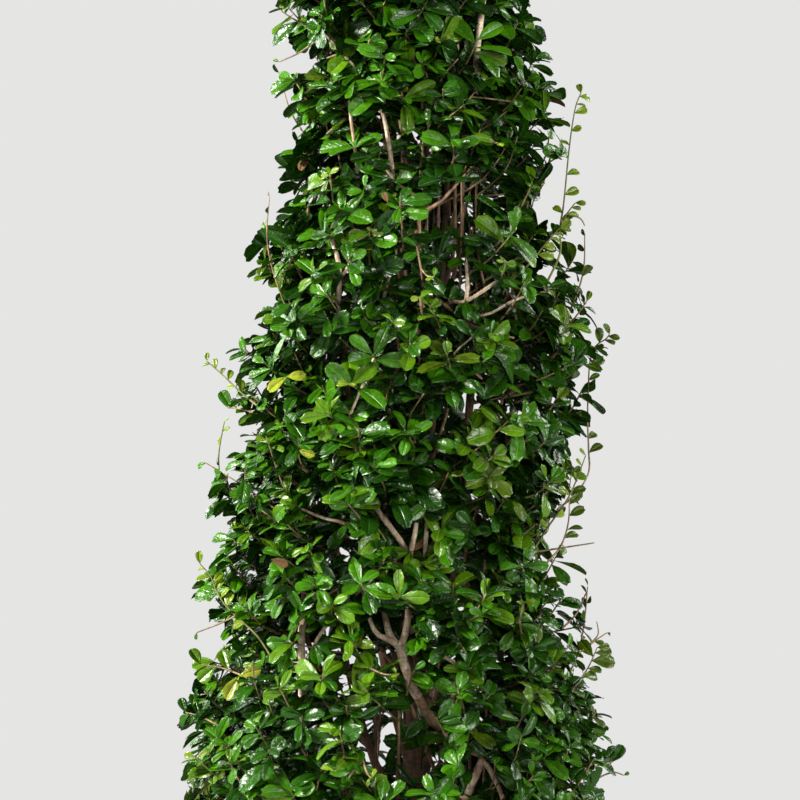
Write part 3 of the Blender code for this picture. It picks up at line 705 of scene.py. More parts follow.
class Bush:
    """Keeps the limbs and the leaves until they are turned into meshes."""

    def __init__(self):
        self.limbs = {"boughs": [], "front": [], "stems": [], "twigs": [], "shoots": []}
        self.leaves = {tint: [] for tint in LEAF_TINTS}
        x, low, high, clear = TRUNK_SHOWS
        self.bare = [
            (places[:-1], clear)
            for limbs in (FORKED_LIMB, SINGLE_LIMBS) for places, _, clear in limbs.values()
        ]
        self.bare.append((((x, low, 0.0), (x, high, 0.0)), clear))
        self.bare.append((LIMB_FOOT_BARE, LIMB_FOOT_CLEAR))

    def in_front_of_bare_limb(self, place):
        """Whether a place hides one of the limbs that are bare of leaves in front."""
        x, z = seen_place(place)
        for line, clear in self.bare:
            for (x0, z0, y0), (x1, z1, y1) in zip(line, line[1:]):
                run = (x1 - x0) ** 2 + (z1 - z0) ** 2
                t = max(0, min(1, ((x - x0) * (x1 - x0) + (z - z0) * (z1 - z0)) / run))
                off = math.hypot(x - x0 - t * (x1 - x0), z - z0 - t * (z1 - z0))
                if off < clear and place.y < y0 + t * (y1 - y0):
                    return True
        return False

    def add_limb(self, kind, points, first, last, steps=4):
        path = rounded_path(points, steps)
        self.add_path(kind, path, len(path) - 1, first, last)
        return path

    def add_path(self, kind, path, end, first, last):
        """A limb along the path, as far as its point number end."""
        count = len(path) - 1
        radii = [first + (last - first) * index / count for index in range(end + 1)]
        self.limbs[kind].append((path[:end + 1], radii))

    def add_leaf(self, tint, root, along, facing, length, width, shape):
        self.leaves[tint].append((root, along, facing, length, width, shape))

    def add_spray(self, chance, keep, place, axis, twig, count, longest, tint):
        """Leaves round the end of a twig or a short shoot, the larger ones lowest; how many grew."""
        grown = 0
        turned = chance.choice(("yellow", "withered")) if chance.random() < TURNED_SHARE else None
        east = axis.orthogonal().normalized()
        north = axis.cross(east)
        first_turn = chance.uniform(0, 2 * math.pi)
        apart = chance.choice(LEAF_SPACINGS)
        out = outward(math.atan2(place.y, place.x))
        low, high, larger = LARGER_LEAVES
        longest *= 1 + (larger - 1) * max(0, min(1, (place.z - low) / (high - low)))
        for number in range(count):
            age = 1 - number / count
            length = longest * (LENGTH_AT_LEAST + LENGTH_BY_AGE * age) * chance.uniform(*LENGTH_SIZES)
            lift = math.radians(LEAST_LIFT + LIFT_BY_YOUTH * (1 - age)) + chance.uniform(*LIFT_SPREAD)
            shown = tint
            if tint == "young" and age > OLD_ENOUGH:
                shown = "bright"
            elif tint == "young":
                length = YOUNG_LEAF * chance.uniform(*YOUNG_LEAF_SIZES)
            if turned and number == 0:
                shown = turned
                length *= TURNED_LENGTH
            root = place - twig * (apart * (count - 1 - number))
            for attempt in range(LEAF_TRIES):
                turn = first_turn + GOLDEN_ANGLE * number + TURN_BETWEEN_TRIES * attempt
                turn += chance.uniform(-TURN_SPREAD, TURN_SPREAD)
                flat = east * math.cos(turn) + north * math.sin(turn)
                along = flat * math.cos(lift) + axis * math.sin(lift)
                along.z = along.z * LEAF_LEVEL + LEAF_RISE - LEAF_DROOP * along.dot(out)
                along.normalize()
                facing = axis * math.cos(lift) - flat * math.sin(lift)
                roll = chance.uniform(-LEAF_ROLL, LEAF_ROLL)
                side = along.cross(facing)
                facing = facing * math.cos(roll) + side * math.sin(roll)
                if keep(root + along * length) and keep(root + along * (0.5 * length)):
                    width = chance.uniform(*LEAF_WIDTHS) + SMALL_LEAF_WIDER * (length < SMALL_LEAF)
                    shape = chance.randrange(LEAF_SHAPES)
                    self.add_leaf(shown, root, along, facing, length, width, shape)
                    grown += 1
                    break
        return grown


def in_any(places, x, z):
    """Whether a seen place is inside one of these ovals."""
    for middle_x, middle_z, half_x, half_z in places:
        if math.hypot((x - middle_x) / half_x, (z - middle_z) / half_z) < 1:
            return True
    return False


def in_opening(place):
    """Whether no leaf may reach a place, because it is in an opening or a pocket."""
    x, z = seen_place(place)
    return in_any(OPEN_PLACES, x, z) or (place.y < POCKET_DEPTH and in_any(POCKETS, x, z))


def thinned(chance, place):
    """Whether a spray is left out so that light shows through."""
    x, z = seen_place(place)
    for middle_x, middle_z, half_x, half_z, share in THIN_PLACES:
        off = math.hypot((x - middle_x) / half_x, (z - middle_z) / half_z)
        if off < 1 and chance.random() < share * (1.2 - off):
            return True
    return False


def in_hollow(chance, place):
    """Whether a place is in one of the pockets between the clumps of outer leaves."""
    if noise.noise(place * HOLLOW_SCALE + HOLLOW_SHIFT) < HOLLOW_LEVEL:
        return chance.random() < HOLLOW_SHARE
    if place.y > 0:
        return False
    x, z = seen_place(place)
    for middle_x, middle_z, half_x, half_z, share in DARK_PLACES:
        if math.hypot((x - middle_x) / half_x, (z - middle_z) / half_z) < 1:
            return chance.random() < share
    return False


def any_way(chance, most):
    """A vector whose parts are each drawn between -most and most."""
    return Vector([chance.uniform(-most, most) for _ in range(3)])


def pick_tint(chance, layer):
    """Dealt out by spray: each layer, from the outermost inwards, has its shares of the tints; the inner
    layers take darker tints as painted shade.
    """
    roll = chance.random()
    for limit, tint in TINT_SHARES[layer]:
        if roll < limit:
            return tint


def grow_uprights(bush, space, bough, chance):
    """Thin uprights that leave the bough and climb inside the mass, behind its leaves."""
    for order in range(UPRIGHTS * (2 if space.last_tier else 1)):
        start = bough[round(len(bough) * chance.uniform(*UPRIGHT_FEET))]
        sideways = -UPRIGHT_SPREAD + 2 * UPRIGHT_SPREAD * (order + chance.random()) / UPRIGHTS
        share = chance.uniform(*UPRIGHT_SHARES)
        low = space.point(sideways * 0.7, -0.8, share * 0.9)
        high = space.point(sideways, chance.uniform(*UPRIGHT_TOPS), share)
        middle = low.lerp(high, 0.5) + any_way(chance, UPRIGHT_WANDER)
        thick = chance.uniform(*UPRIGHT_RADII)
        yield bush.add_limb("stems", (start, low, middle, high), thick, thick * 0.5, 5)


def nearest(points, wanted):
    return min(points, key=lambda point: (point - wanted).length_squared)


def bends_back(start, middle, end):
    """Whether a limb would turn by more than about 70 degrees at its middle."""
    return (middle - start).normalized().dot((end - middle).normalized()) < SHARPEST_BEND


def grow_crossing_twigs(bush, space, joints, chance, keep):
    """Bare twigs that slant across among the outer leaves, with a spray at the end."""
    for _ in range(CROSSING_TWIGS):
        sideways = chance.uniform(-0.9, 0.9)
        upwards = chance.uniform(-0.9, 0.6)
        swing = chance.choice((-1, 1)) * chance.uniform(*CROSSING_SWING)
        middle = space.point(sideways, upwards, chance.uniform(*CROSSING_SHARES))
        tip = space.point(sideways + swing, min(0.95, upwards + chance.uniform(*CROSSING_CLIMB)), 1.0)
        facing = facing_out(tip)
        tip -= facing * chance.uniform(*CROSSING_DEPTHS)
        if not (space.holds(tip, LAP) and keep(tip)):
            continue
        start = nearest(joints, middle)
        kind = chance.choice(CROSSING_BARKS)
        thick = chance.uniform(*CROSSING_RADII)
        path = rounded_path((start, middle, tip), 6)
        if bends_back(start, middle, tip) or any(in_opening(place) for place in path):
            continue
        if any(bush.in_front_of_bare_limb(place) for place in path):
            continue
        twig = (path[-1] - path[-2]).normalized()
        axis = (twig + UP * 0.5 + facing * 0.3).normalized()
        tint = pick_tint(chance, 0)
        if bush.add_spray(chance, keep, tip, axis, twig, CROSSING_LEAVES, CROSSING_LEAF, tint) > 1:
            bush.add_path(kind, path, len(path) - 1, thick, thick * 0.55)


def grow_main_twigs(bush, space, corners, chance):
    """Stem and main twigs as in the solids: where finer twigs join them, and places for inner leaves."""
    stem = bush.add_limb("stems", corners, STEM_RADIUS * 0.80, STEM_RADIUS * 0.50, 5)
    joints = list(stem[5:])
    inner_painted_shade = list(stem[2:] if space.last_tier else stem[6::2])
    spread = 1.0 if space.last_tier else TWIG_SPREAD
    for sideways, upwards in even_spread(space.twigs, space.seed):
        tip = space.point(spread * sideways, TWIG_RISE * upwards, 1.0)
        facing = facing_out(tip)
        size = max(LEAST_SIZE, min(1, math.hypot(tip.x, tip.y) / FULL_REACH))
        tip -= facing * TWIG_DEPTH * size * chance.uniform(0.85, 1.2)
        start = stem_place(space, corners, upwards)
        bend = start.lerp(tip, 0.55) - Vector((0, 0, TWIG_SAG * (tip - start).length))
        along = (tip - bend).normalized()
        end = tip + along * TWIG_PAST_LEAVES
        path = bush.add_limb("stems", (start, bend, end), TWIG_RADIUS * 0.75, TWIG_RADIUS * 0.35, 5)
        joints.extend(path[2:])
        inner_painted_shade.extend(path[3:8:2])
    return joints, inner_painted_shade


def grow_inner_sprays(bush, places, small, chance, keep):
    """Sprays on the limbs inside the mass, which close it to the eye."""
    for place in places:
        lean = any_way(chance, INNER_LEAN)
        axis = (facing_out(place) * 0.6 + UP * 0.5 + lean).normalized()
        longest = chance.uniform(LEAF_SHORTEST, LEAF_LONGEST) * small
        if not thinned(chance, place):
            # the innermost layer: mostly the near-black tint, a painted shade
            tint = pick_tint(chance, 3)
            bush.add_spray(chance, keep, place, axis, -axis, chance.randint(5, 7), longest, tint)


def fine_twig_path(surface, facing, joints, small, chance):
    """A twig from the nearest joint, a little below, to just inside the clipped surface."""
    uneven = UNEVEN_DEPTH * max(-0.3, noise.noise(surface * UNEVEN_SCALE))
    tip = surface - facing * (chance.uniform(*FINE_TWIG_DEPTHS) + uneven) * small
    start = nearest(joints, tip - facing * (FINE_TWIG_FOOT_IN * small) - UP * FINE_TWIG_FOOT_DOWN)
    length = (tip - start).length
    aside = facing.cross(UP).normalized() * (chance.uniform(-FINE_TWIG_ASIDE, FINE_TWIG_ASIDE) * length)
    bowed = start.lerp(tip, 0.5) + facing * (FINE_TWIG_BOW * length)
    return start, bowed - UP * (FINE_TWIG_SAG * length) + aside, tip


def grow_fine_twigs(bush, space, joints, small, chance, keep):
    """Fine twigs all over the clipped surface, each as long as its sprays of leaves need it."""
    more = TOP_TWIGS_MORE if space.last_tier else 1.0
    count = round(FINE_TWIGS_PER_AREA * space.area() * more)
    for sideways, upwards in even_spread(count, space.seed + 0.61):
        surface = space.point(0.995 * sideways, 1.02 * upwards, 1.0)
        facing = facing_out(surface)
        if not space.last_tier and in_hollow(chance, surface):
            continue
        start, bend, tip = fine_twig_path(surface, facing, joints, small, chance)
        kind = "shoots" if chance.random() < GREEN_TWIGS else "twigs"
        path = rounded_path((start, bend, tip), 4)
        last = len(path) - 1
        if bends_back(start, bend, tip) or in_opening(path[last]) or in_opening(path[last // 2]):
            continue
        if bush.in_front_of_bare_limb(path[last // 2]):
            continue
        short = (tip - start).length <= SHORT_TWIG
        end = 0
        for order, share in enumerate(SPRAYS_ON_TWIG[:SPRAYS_ON_SHORT_TWIG] if short else SPRAYS_ON_TWIG):
            index = round(share * last)
            place = path[index]
            twig = (place - path[index - 1]).normalized()
            lean = any_way(chance, FINE_TWIG_LEAN)
            axis = (facing * (0.84 - 0.06 * order) + UP * 0.78 + lean).normalized()
            # sprays further in along the twig take darker tints, a painted shade
            tint = pick_tint(chance, order)
            leaves = chance.randint(4, 6) if order == 0 else chance.randint(3, 5)
            if thinned(chance, place):
                continue
            longest = chance.uniform(LEAF_SHORTEST, LEAF_LONGEST) * small
            if bush.add_spray(chance, keep, place, axis, twig, leaves, longest, tint):
                end = max(end, index)
        if end:
            bush.add_path(kind, path, end, *FINE_TWIG_RADII)


def grow_mass(bush, space, foot, direction, bough):
    """One mass of foliage: its limbs from the thickest to the finest, with their sprays."""
    chance = random.Random(space.seed)
    joints, inner_painted_shade = grow_main_twigs(bush, space, stem_corners(space, foot, direction), chance)

    def keep(point):
        if not space.holds(point, LAP):
            return False
        return not (bush.in_front_of_bare_limb(point) or in_opening(point))

    small = TOP_LEAVES_SMALLER if space.last_tier else 1.0
    for upright in grow_uprights(bush, space, bough, chance):
        joints.extend(upright[3:])
        inner_painted_shade.extend(upright[3::2])
    grow_inner_sprays(bush, inner_painted_shade, small, chance, keep)
    grow_crossing_twigs(bush, space, joints, chance, keep)
    grow_fine_twigs(bush, space, joints, small, chance, keep)


def limb_points(bush):
    """Every point of the boughs, stems and twigs, in a tree that finds the nearest."""
    paths = [path for kind in ("boughs", "stems", "twigs") for path, _ in bush.limbs[kind]]
    points = [point for path in paths for point in path]
    found = kdtree.KDTree(len(points))
    for index, point in enumerate(points):
        found.insert(point, index)
    found.balance()
    return found


def hang_spray(bush, chance, start, spot, tint=None, count=5, longest=HUNG_LEAF):
    """A spray on a twig of its own from start to spot."""
    middle = start.lerp(spot, 0.5) - UP * (TWIG_SAG * (spot - start).length)
    bush.add_limb("twigs", (start, middle, spot), *HUNG_TWIG_RADII, 4)
    lean = any_way(chance, HUNG_LEAN) * (0.4 if tint else 1.0)
    axis = (facing_out(spot) * 0.9 + UP * 0.4 + lean).normalized()

    def keep(point):
        return not bush.in_front_of_bare_limb(point)

    twig = (spot - start).normalized()
    bush.add_spray(chance, keep, spot, axis, twig, count, longest, tint or pick_tint(chance, 1))


def show_leaves(bush, chance, spot, tint, count, longest):
    """Leaves that turn their faces to the viewer."""
    first_turn = chance.uniform(0, 2 * math.pi)
    for number in range(count):
        turn = first_turn + GOLDEN_ANGLE * number
        facing = Vector((chance.uniform(-0.4, 0.2), -1, chance.uniform(0.1, 0.6))).normalized()
        along = Vector((math.cos(turn), 0, math.sin(turn)))
        along = (along - facing * along.dot(facing)).normalized()
        length = longest * chance.uniform(0.85, 1.15)
        width = chance.uniform(0.9, 1.15)
        bush.add_leaf(tint, spot, along, facing, length, width, chance.randrange(LEAF_SHAPES))


def grow_bare_limbs(bush):
    """The limbs that show in front, with sprays at their ends, and what hangs before the boughs."""
    chance = random.Random(77)
    # the limb's foot in the darker stem bark, a painted shade
    bush.add_limb("stems", [toward_viewer(*place) for place in LIMB_FOOT], *LIMB_FOOT_RADII, 7)
    # The limbs seen in front go into the pale bark, lightened as painted light
    for places, radii, _ in FORKED_LIMB.values():
        bush.add_limb("front", [toward_viewer(*place) for place in places], *radii, 7)
    for places, radii, _ in SINGLE_LIMBS.values():
        (x0, z0, depth), (x1, z1, _) = places[:2]
        hidden = (2 * x0 - x1, 2 * z0 - z1 - HIDDEN_FOOT_DOWN, depth * HIDDEN_FOOT_DEPTH)
        points = [toward_viewer(*place) for place in (hidden, *places)]
        bush.add_limb("front", points, *radii, 7)
        for x, z, depth in (places[0], places[-1]):
            spot = toward_viewer(x, z + END_SPRAY_UP, depth - END_SPRAY_NEARER)
            hang_spray(bush, chance, toward_viewer(x, z, depth), spot)
    limbs = limb_points(bush)
    for x, z, depth in COVERED_PLACES:
        spot = toward_viewer(x, z, depth)
        hang_spray(bush, chance, limbs.find(spot)[0], spot)
    for x, z, tint, count, longest in COLOURED_SPRAYS:
        spot = on_front(x, z)
        if tint == "young":
            hang_spray(bush, chance, limbs.find(spot)[0], spot, tint, count, longest)
        else:
            show_leaves(bush, chance, limbs.find(spot)[0].lerp(spot, 0.7), tint, count, longest)
    # uprights in the boughs' bark, darkened as painted shade
    for places in DARK_UPRIGHTS:
        bush.add_limb("boughs", [toward_viewer(*place) for place in places], *DARK_UPRIGHT_RADII, 7)


def leaves_along(bush, chance, path, longest, count, tint, look):
    """Small leaves to both sides of a shoot, their faces turned to the side that look comes from."""
    last = len(path) - 1
    for number in range(count):
        share = 0.25 + 0.75 * (number + 1) / count
        index = min(last - 1, max(1, round(share * last)))
        place = path[round(share * last)]
        ahead = (path[index + 1] - path[index - 1]).normalized()
        side = ahead.cross(look).normalized() * chance.choice((-1, 1, 1))
        along = (side * chance.uniform(0.5, 1.0) + ahead * chance.uniform(0.4, 0.9)
                 + look * chance.uniform(-0.5, 0.5)).normalized()
        facing = look + UP * 0.5 + any_way(chance, 0.5)
        facing = (facing - along * facing.dot(along)).normalized()
        length = longest * chance.uniform(0.75, 1.3) * (1.25 - 0.45 * share)
        width = chance.uniform(0.95, 1.25)
        bush.add_leaf(tint, place, along, facing, length, width, chance.randrange(LEAF_SHAPES))


def grow_whips(bush):
    """Long shoots that the shears have missed, with small leaves along them."""
    for order, (places, longest, count, tint) in enumerate(WHIPS):
        chance = random.Random(900 + order)
        points = [toward_viewer(*place) for place in places]
        kind = "shoots" if tint == "young" else "twigs"
        path = bush.add_limb(kind, points, *WHIP_RADII, 6)
        leaves_along(bush, chance, path, longest, count, tint, Vector((0, -1, 0)))
    for order in range(STRAY_WHIPS):
        chance = random.Random(950 + order)
        turned = STRAY_WHIPS_TURN * (order + chance.uniform(0.2, 0.8)) / STRAY_WHIPS
        azimuth = math.radians(STRAY_WHIPS_FROM + turned)
        height = STRAY_WHIP_LOWEST + STRAY_WHIP_RANGE * ((0.31 + order * 0.618) % 1)
        points = []
        for rise, out in STRAY_WHIP_PLACES:
            turn = azimuth + chance.uniform(-0.05, 0.05)
            point = outward(turn) * (reach(height + rise, turn) + out)
            point.z = height + rise
            points.append(point)
        tint = chance.choice(("young", "young", "mid", "olive"))
        path = bush.add_limb("shoots" if tint == "young" else "twigs", points, *WHIP_RADII, 6)
        count = chance.randint(4, 9)
        leaves_along(bush, chance, path, STRAY_WHIP_LEAF, count, tint, outward(azimuth))


def bough_radii(space, count):
    """A bough thickens at its foot, where it leaves the trunk."""
    foot, tip = BOUGH_RULES[space.tier][3], BOUGH_TIP_RADIUS * 1.15
    if space.name == SWUNG_BOUGH:
        foot, tip = SWUNG_RADII
    radii = []
    for index in range(count):
        t = index / (count - 1)
        radii.append((foot + (tip - foot) * t**0.8) * (1 + BOUGH_COLLAR * math.exp(-BOUGH_COLLAR_FALL * t)))
    return radii


def grow_crown(spaces):
    """The whole crown: each mass on its bough or, at the top, on the end of the trunk."""
    bush = Bush()
    for space in spaces:
        if space.last_tier:
            leader = [trunk_centre(TRUNK_TOP - TOP_LEADER * (1 - step / 20)) for step in range(21)]
            grow_mass(bush, space, trunk_centre(TRUNK_TOP + GAP), UP.copy(), leader)
            continue
        path = bough_path(space, BOUGH_POINTS)
        bush.limbs["boughs"].append((path, bough_radii(space, BOUGH_POINTS)))
        direction = (path[-1] - path[-2]).normalized()
        grow_mass(bush, space, path[-1] + direction * GAP, direction, path)
    grow_bare_limbs(bush)
    grow_whips(bush)
    return bush


# Shapes

TRUNK_IN_SOIL = 0.004
TRUNK_RINGS = 230
TRUNK_SIDES = 28
TRUNK_RELIEF = 0.11
BOUGH_SIDES = 12
BOUGH_RELIEF = 0.12
# Relief of bark: scales round a limb and along it, and the strengths of ridges, lumps and swellings
RIDGE_SCALES = (2.6, 34)
LUMP_SCALES = (0.9, 60)
SWELLING_SCALE = 22
RELIEF_STRENGTHS = (0.9, 0.8, 0.6)
LIMB_SHARP_ANGLE = math.radians(60)


def finish_object(name, mesh, material, sharp_angle=None):
    data = bpy.data.meshes.new(name)
    mesh.to_mesh(data)
    mesh.free()
    data.shade_smooth()
    if sharp_angle:
        data.set_sharp_from_angle(angle=sharp_angle)
    return place_object(name, data, material)


def place_object(name, data, material):
    data.materials.clear()
    data.materials.append(material)
    made = bpy.data.objects.new(name, data)
    bpy.context.scene.collection.objects.link(made)
    return made


def ring_edges(mesh, ring):
    return [mesh.edges.get(pair) for pair in zip(ring, ring[1:] + ring[:1])]


def extrude_limb(mesh, path, radii, sides, relief, seed, level_foot=False):
    """A closed limb, a ring extruded from point to point, with bark that rises and falls."""
    ridge_round, ridge_along = RIDGE_SCALES
    lump_round, lump_along = LUMP_SCALES
    ridge_strength, lump_strength, swelling_strength = RELIEF_STRENGTHS
    ring = bmesh.ops.create_circle(mesh, segments=sides, radius=1)["verts"]
    shape = [corner.co.copy() for corner in ring]
    first_ring = list(ring)
    last = len(path) - 1
    side = None
    run = 0.0
    for index, point in enumerate(path):
        along = (path[min(index + 1, last)] - path[max(index - 1, 0)]).normalized()
        if index == 0 and level_foot:
            along = UP.copy()
        if index:
            run += (point - path[index - 1]).length
        if side is None:
            side = along.orthogonal().normalized()
        side = (side - along * side.dot(along)).normalized()
        other = along.cross(side)
        if index:
            grown = bmesh.ops.extrude_edge_only(mesh, edges=ring_edges(mesh, ring))["geom"]
            new = {corner for corner in grown if isinstance(corner, bmesh.types.BMVert)}
            ring = [
                next(edge.other_vert(corner) for edge in corner.link_edges
                     if edge.other_vert(corner) in new)
                for corner in ring
            ]
        for corner, flat in zip(ring, shape):
            x, y = flat.x, flat.y
            ridges = noise.noise(Vector((x * ridge_round + seed, y * ridge_round, run * ridge_along)))
            lumps = noise.noise(Vector((x * lump_round, y * lump_round + seed, run * lump_along + 7)))
            swelling = noise.noise(Vector((seed * 1.7, 3.1, run * SWELLING_SCALE)))
            rough = ridge_strength * ridges + lump_strength * lumps + swelling_strength * swelling
            corner.co = point + (side * x + other * y) * (radii[index] * (1 + relief * rough))
    for border in (first_ring, ring):
        bmesh.ops.holes_fill(mesh, edges=ring_edges(mesh, border))


def build_trunk(material):
    """The trunk as in the solids, its foot just under the soil, with the relief of its bark."""
    mesh = bmesh.new()
    foot = SOIL_LEVEL - TRUNK_IN_SOIL
    shares = [(ring / (TRUNK_RINGS - 1)) ** 1.15 for ring in range(TRUNK_RINGS)]
    heights = [foot + (TRUNK_TOP - foot) * share for share in shares]
    path = [trunk_centre(height) for height in heights]
    radii = [trunk_radius(max(height, SOIL_LEVEL)) for height in heights]
    extrude_limb(mesh, path, radii, TRUNK_SIDES, TRUNK_RELIEF, 4.0, level_foot=True)
    bmesh.ops.recalc_face_normals(mesh, faces=mesh.faces)
    return finish_object("trunk_bark", mesh, material, LIMB_SHARP_ANGLE)


def build_boughs(name, limbs, material):
    mesh = bmesh.new()
    for seed, (path, radii) in enumerate(limbs):
        extrude_limb(mesh, path, radii, BOUGH_SIDES, BOUGH_RELIEF, 11.0 + seed)
    bmesh.ops.recalc_face_normals(mesh, faces=mesh.faces)
    return finish_object(name, mesh, material, LIMB_SHARP_ANGLE)


def build_twigs(name, limbs, material, roundness):
    """Thin limbs as one set of lines with a round section, turned into a mesh."""
    data = bpy.data.curves.new(name, "CURVE")
    data.dimensions = "3D"
    data.bevel_depth = 1.0
    data.bevel_resolution = roundness
    data.use_fill_caps = True
    for path, radii in limbs:
        line = data.splines.new("POLY")
        line.points.add(len(path) - 1)
        line.points.foreach_set("co", [part for point in path for part in (*point, 1.0)])
        line.points.foreach_set("radius", radii)
    drawn = bpy.data.objects.new(name + "_lines", data)
    bpy.context.scene.collection.objects.link(drawn)
    graph = bpy.context.evaluated_depsgraph_get()
    mesh = bpy.data.meshes.new_from_object(drawn.evaluated_get(graph))
    bpy.data.objects.remove(drawn, do_unlink=True)
    bpy.data.curves.remove(data)
    mesh.name = name
    mesh.shade_smooth()
    return place_object(name, mesh, material)


# Leaf blade by rows from the root to the tip: place along it and half its width
LEAF_COLUMNS = 2
LEAF_PROFILE = (
    (0.0, 0.020), (0.11, 0.060), (0.28, 0.160), (0.48, 0.236),
    (0.67, 0.264), (0.83, 0.244), (0.940, 0.178),
)
LEAF_ROWS = len(LEAF_PROFILE)
# How the last row ends: place along the blade and half width at the edge, and the midrib's place
LEAF_ENDS = (
    (0.990, 0.085, 1.000), (1.002, 0.122, 0.952), (0.978, 0.085, 1.010), (0.988, 0.105, 0.985),
    (0.984, 0.070, 1.000), (1.006, 0.116, 0.958), (0.972, 0.075, 1.010), (0.998, 0.112, 0.970),
)
LEAF_SHAPES = len(LEAF_ENDS)
# For each shape: width of the last row but one, fold along the midrib, curl of the tip
LEAF_NOTCHES = (1.0, 0.84, 1.04, 0.80, 0.94, 0.88, 1.06, 0.78)
LEAF_FOLDS = (0.24, 0.12, 0.34, 0.18, 0.28, 0.08, 0.20, 0.42)
LEAF_CURLS = (0.22, 0.36, 0.12, 0.46, 0.05, 0.28, 0.40, 0.16)
LEAF_WAVE = 0.020


def leaf_blade(shape):
    """One leaf along +Y, one unit long, its upper face up: corners of its grid, and its faces."""
    mesh = bmesh.new()
    bmesh.ops.create_grid(mesh, x_segments=LEAF_COLUMNS, y_segments=LEAF_ROWS, size=1)
    mesh.verts.ensure_lookup_table()
    corners = []
    for corner in mesh.verts:
        side = corner.co.x
        row = round((corner.co.y + 1) / 2 * LEAF_ROWS)
        if row < LEAF_ROWS:
            along, half_width = LEAF_PROFILE[row]
            if row == LEAF_ROWS - 1:
                half_width *= LEAF_NOTCHES[shape]
        else:
            edge_along, half_width, rib_along = LEAF_ENDS[shape]
            along = edge_along if abs(side) > 0.5 else rib_along
        x = side * half_width
        fold = LEAF_FOLDS[shape] * abs(x)
        wave = LEAF_WAVE * math.sin(7 * along + 2.1 * shape) * side * (row > 1)
        curl = LEAF_CURLS[shape] * (along * along - 0.35 * along)
        corners.append((x, along, fold + wave - curl))
    faces = [[corner.index for corner in face.verts] for face in mesh.faces]
    flat = [((corner.co.x + 1) / 2, (corner.co.y + 1) / 2) for corner in mesh.verts]
    mesh.free()
    return np.array(corners), np.array(faces), np.array(flat)


def leaf_sheets(name, leaves, blades, material):
    """Many leaves as one mesh: each blade is turned, sized and set down by arrays."""
    faces, flat = blades[0][1], blades[0][2]
    shapes = np.stack([blade[0] for blade in blades])
    along = np.array([leaf[1] for leaf in leaves])
    facing = np.array([leaf[2] for leaf in leaves])
    facing -= along * np.sum(along * facing, axis=1, keepdims=True)
    facing /= np.linalg.norm(facing, axis=1, keepdims=True)
    length = np.array([leaf[3] for leaf in leaves])[:, None]
    width = np.array([leaf[4] for leaf in leaves])[:, None]
    across = np.cross(along, facing)
    turn = np.stack([across * length * width, along * length, facing * length], axis=1)
    kinds = np.array([leaf[5] for leaf in leaves])
    roots = np.array([leaf[0] for leaf in leaves])
    corners = np.einsum("nvi,nij->nvj", shapes[kinds], turn) + roots[:, None, :]
    per_leaf = shapes.shape[1]
    order = faces[None, :, :] + (np.arange(len(leaves)) * per_leaf)[:, None, None]
    data = bpy.data.meshes.new(name)
    data.vertices.add(corners.shape[0] * per_leaf)
    data.vertices.foreach_set("co", corners.reshape(-1).astype(np.float32))
    data.loops.add(order.size)
    data.loops.foreach_set("vertex_index", order.reshape(-1).astype(np.int32))
    data.polygons.add(order.shape[0] * order.shape[1])
    data.polygons.foreach_set("loop_start", np.arange(0, order.size, 4, dtype=np.int32))
    data.update(calc_edges=True)
    uv = data.uv_layers.new(name="blade")
    spread = np.tile(flat[faces].reshape(-1, 2), (len(leaves), 1))
    uv.data.foreach_set("uv", spread.reshape(-1).astype(np.float32))
    data.shade_smooth()
    ends = np.empty(len(data.edges) * 2, dtype=np.int32)
    data.edges.foreach_get("vertices", ends)
    on_rib = np.abs(shapes[0][ends.reshape(-1, 2) % per_leaf, 0]).max(axis=1) < 1e-6
    sharp = data.attributes.new("sharp_edge", "BOOLEAN", "EDGE")
    sharp.data.foreach_set("value", on_rib)
    data.validate()
    return place_object(name, data, material)


def build_leaves(bush, materials):
    blades = [leaf_blade(shape) for shape in range(LEAF_SHAPES)]
    made = []
    for tint, leaves in bush.leaves.items():
        leaves.sort(key=lambda leaf: leaf[0].z)
        parts = math.ceil(len(leaves) / MOST_LEAVES_IN_A_PIECE)
        size = math.ceil(len(leaves) / parts)
        for part in range(parts):
            some = leaves[part * size:(part + 1) * size]
            made.append(leaf_sheets(f"leaves_{tint}_{part + 1}", some, blades, materials[tint]))
    return made


def spun(profile, steps):
    """A profile of (radius, height) turned round the pot's axis, its faces outwards."""
    mesh = bmesh.new()
    points = [mesh.verts.new((radius, 0, height)) for radius, height in profile]
    edges = [mesh.edges.new(pair) for pair in zip(points, points[1:])]
    bmesh.ops.spin(
        mesh, geom=points + edges, axis=(0, 0, 1), cent=(0, 0, 0),
        angle=2 * math.pi, steps=steps, use_merge=True,
    )
    bmesh.ops.remove_doubles(mesh, verts=mesh.verts, dist=1e-5)
    bmesh.ops.recalc_face_normals(mesh, faces=mesh.faces)
    if mesh.calc_volume(signed=True) < 0:
        bmesh.ops.reverse_faces(mesh, faces=mesh.faces)
    return mesh


def corner_arc(x, z, radius, first, last, steps=5):
    """Points round a corner of a profile, with angles in degrees from +X."""
    arc = []
    for step in range(steps + 1):
        angle = math.radians(first + (last - first) * step / steps)
        arc.append((x + radius * math.cos(angle), z + radius * math.sin(angle)))
    return arc


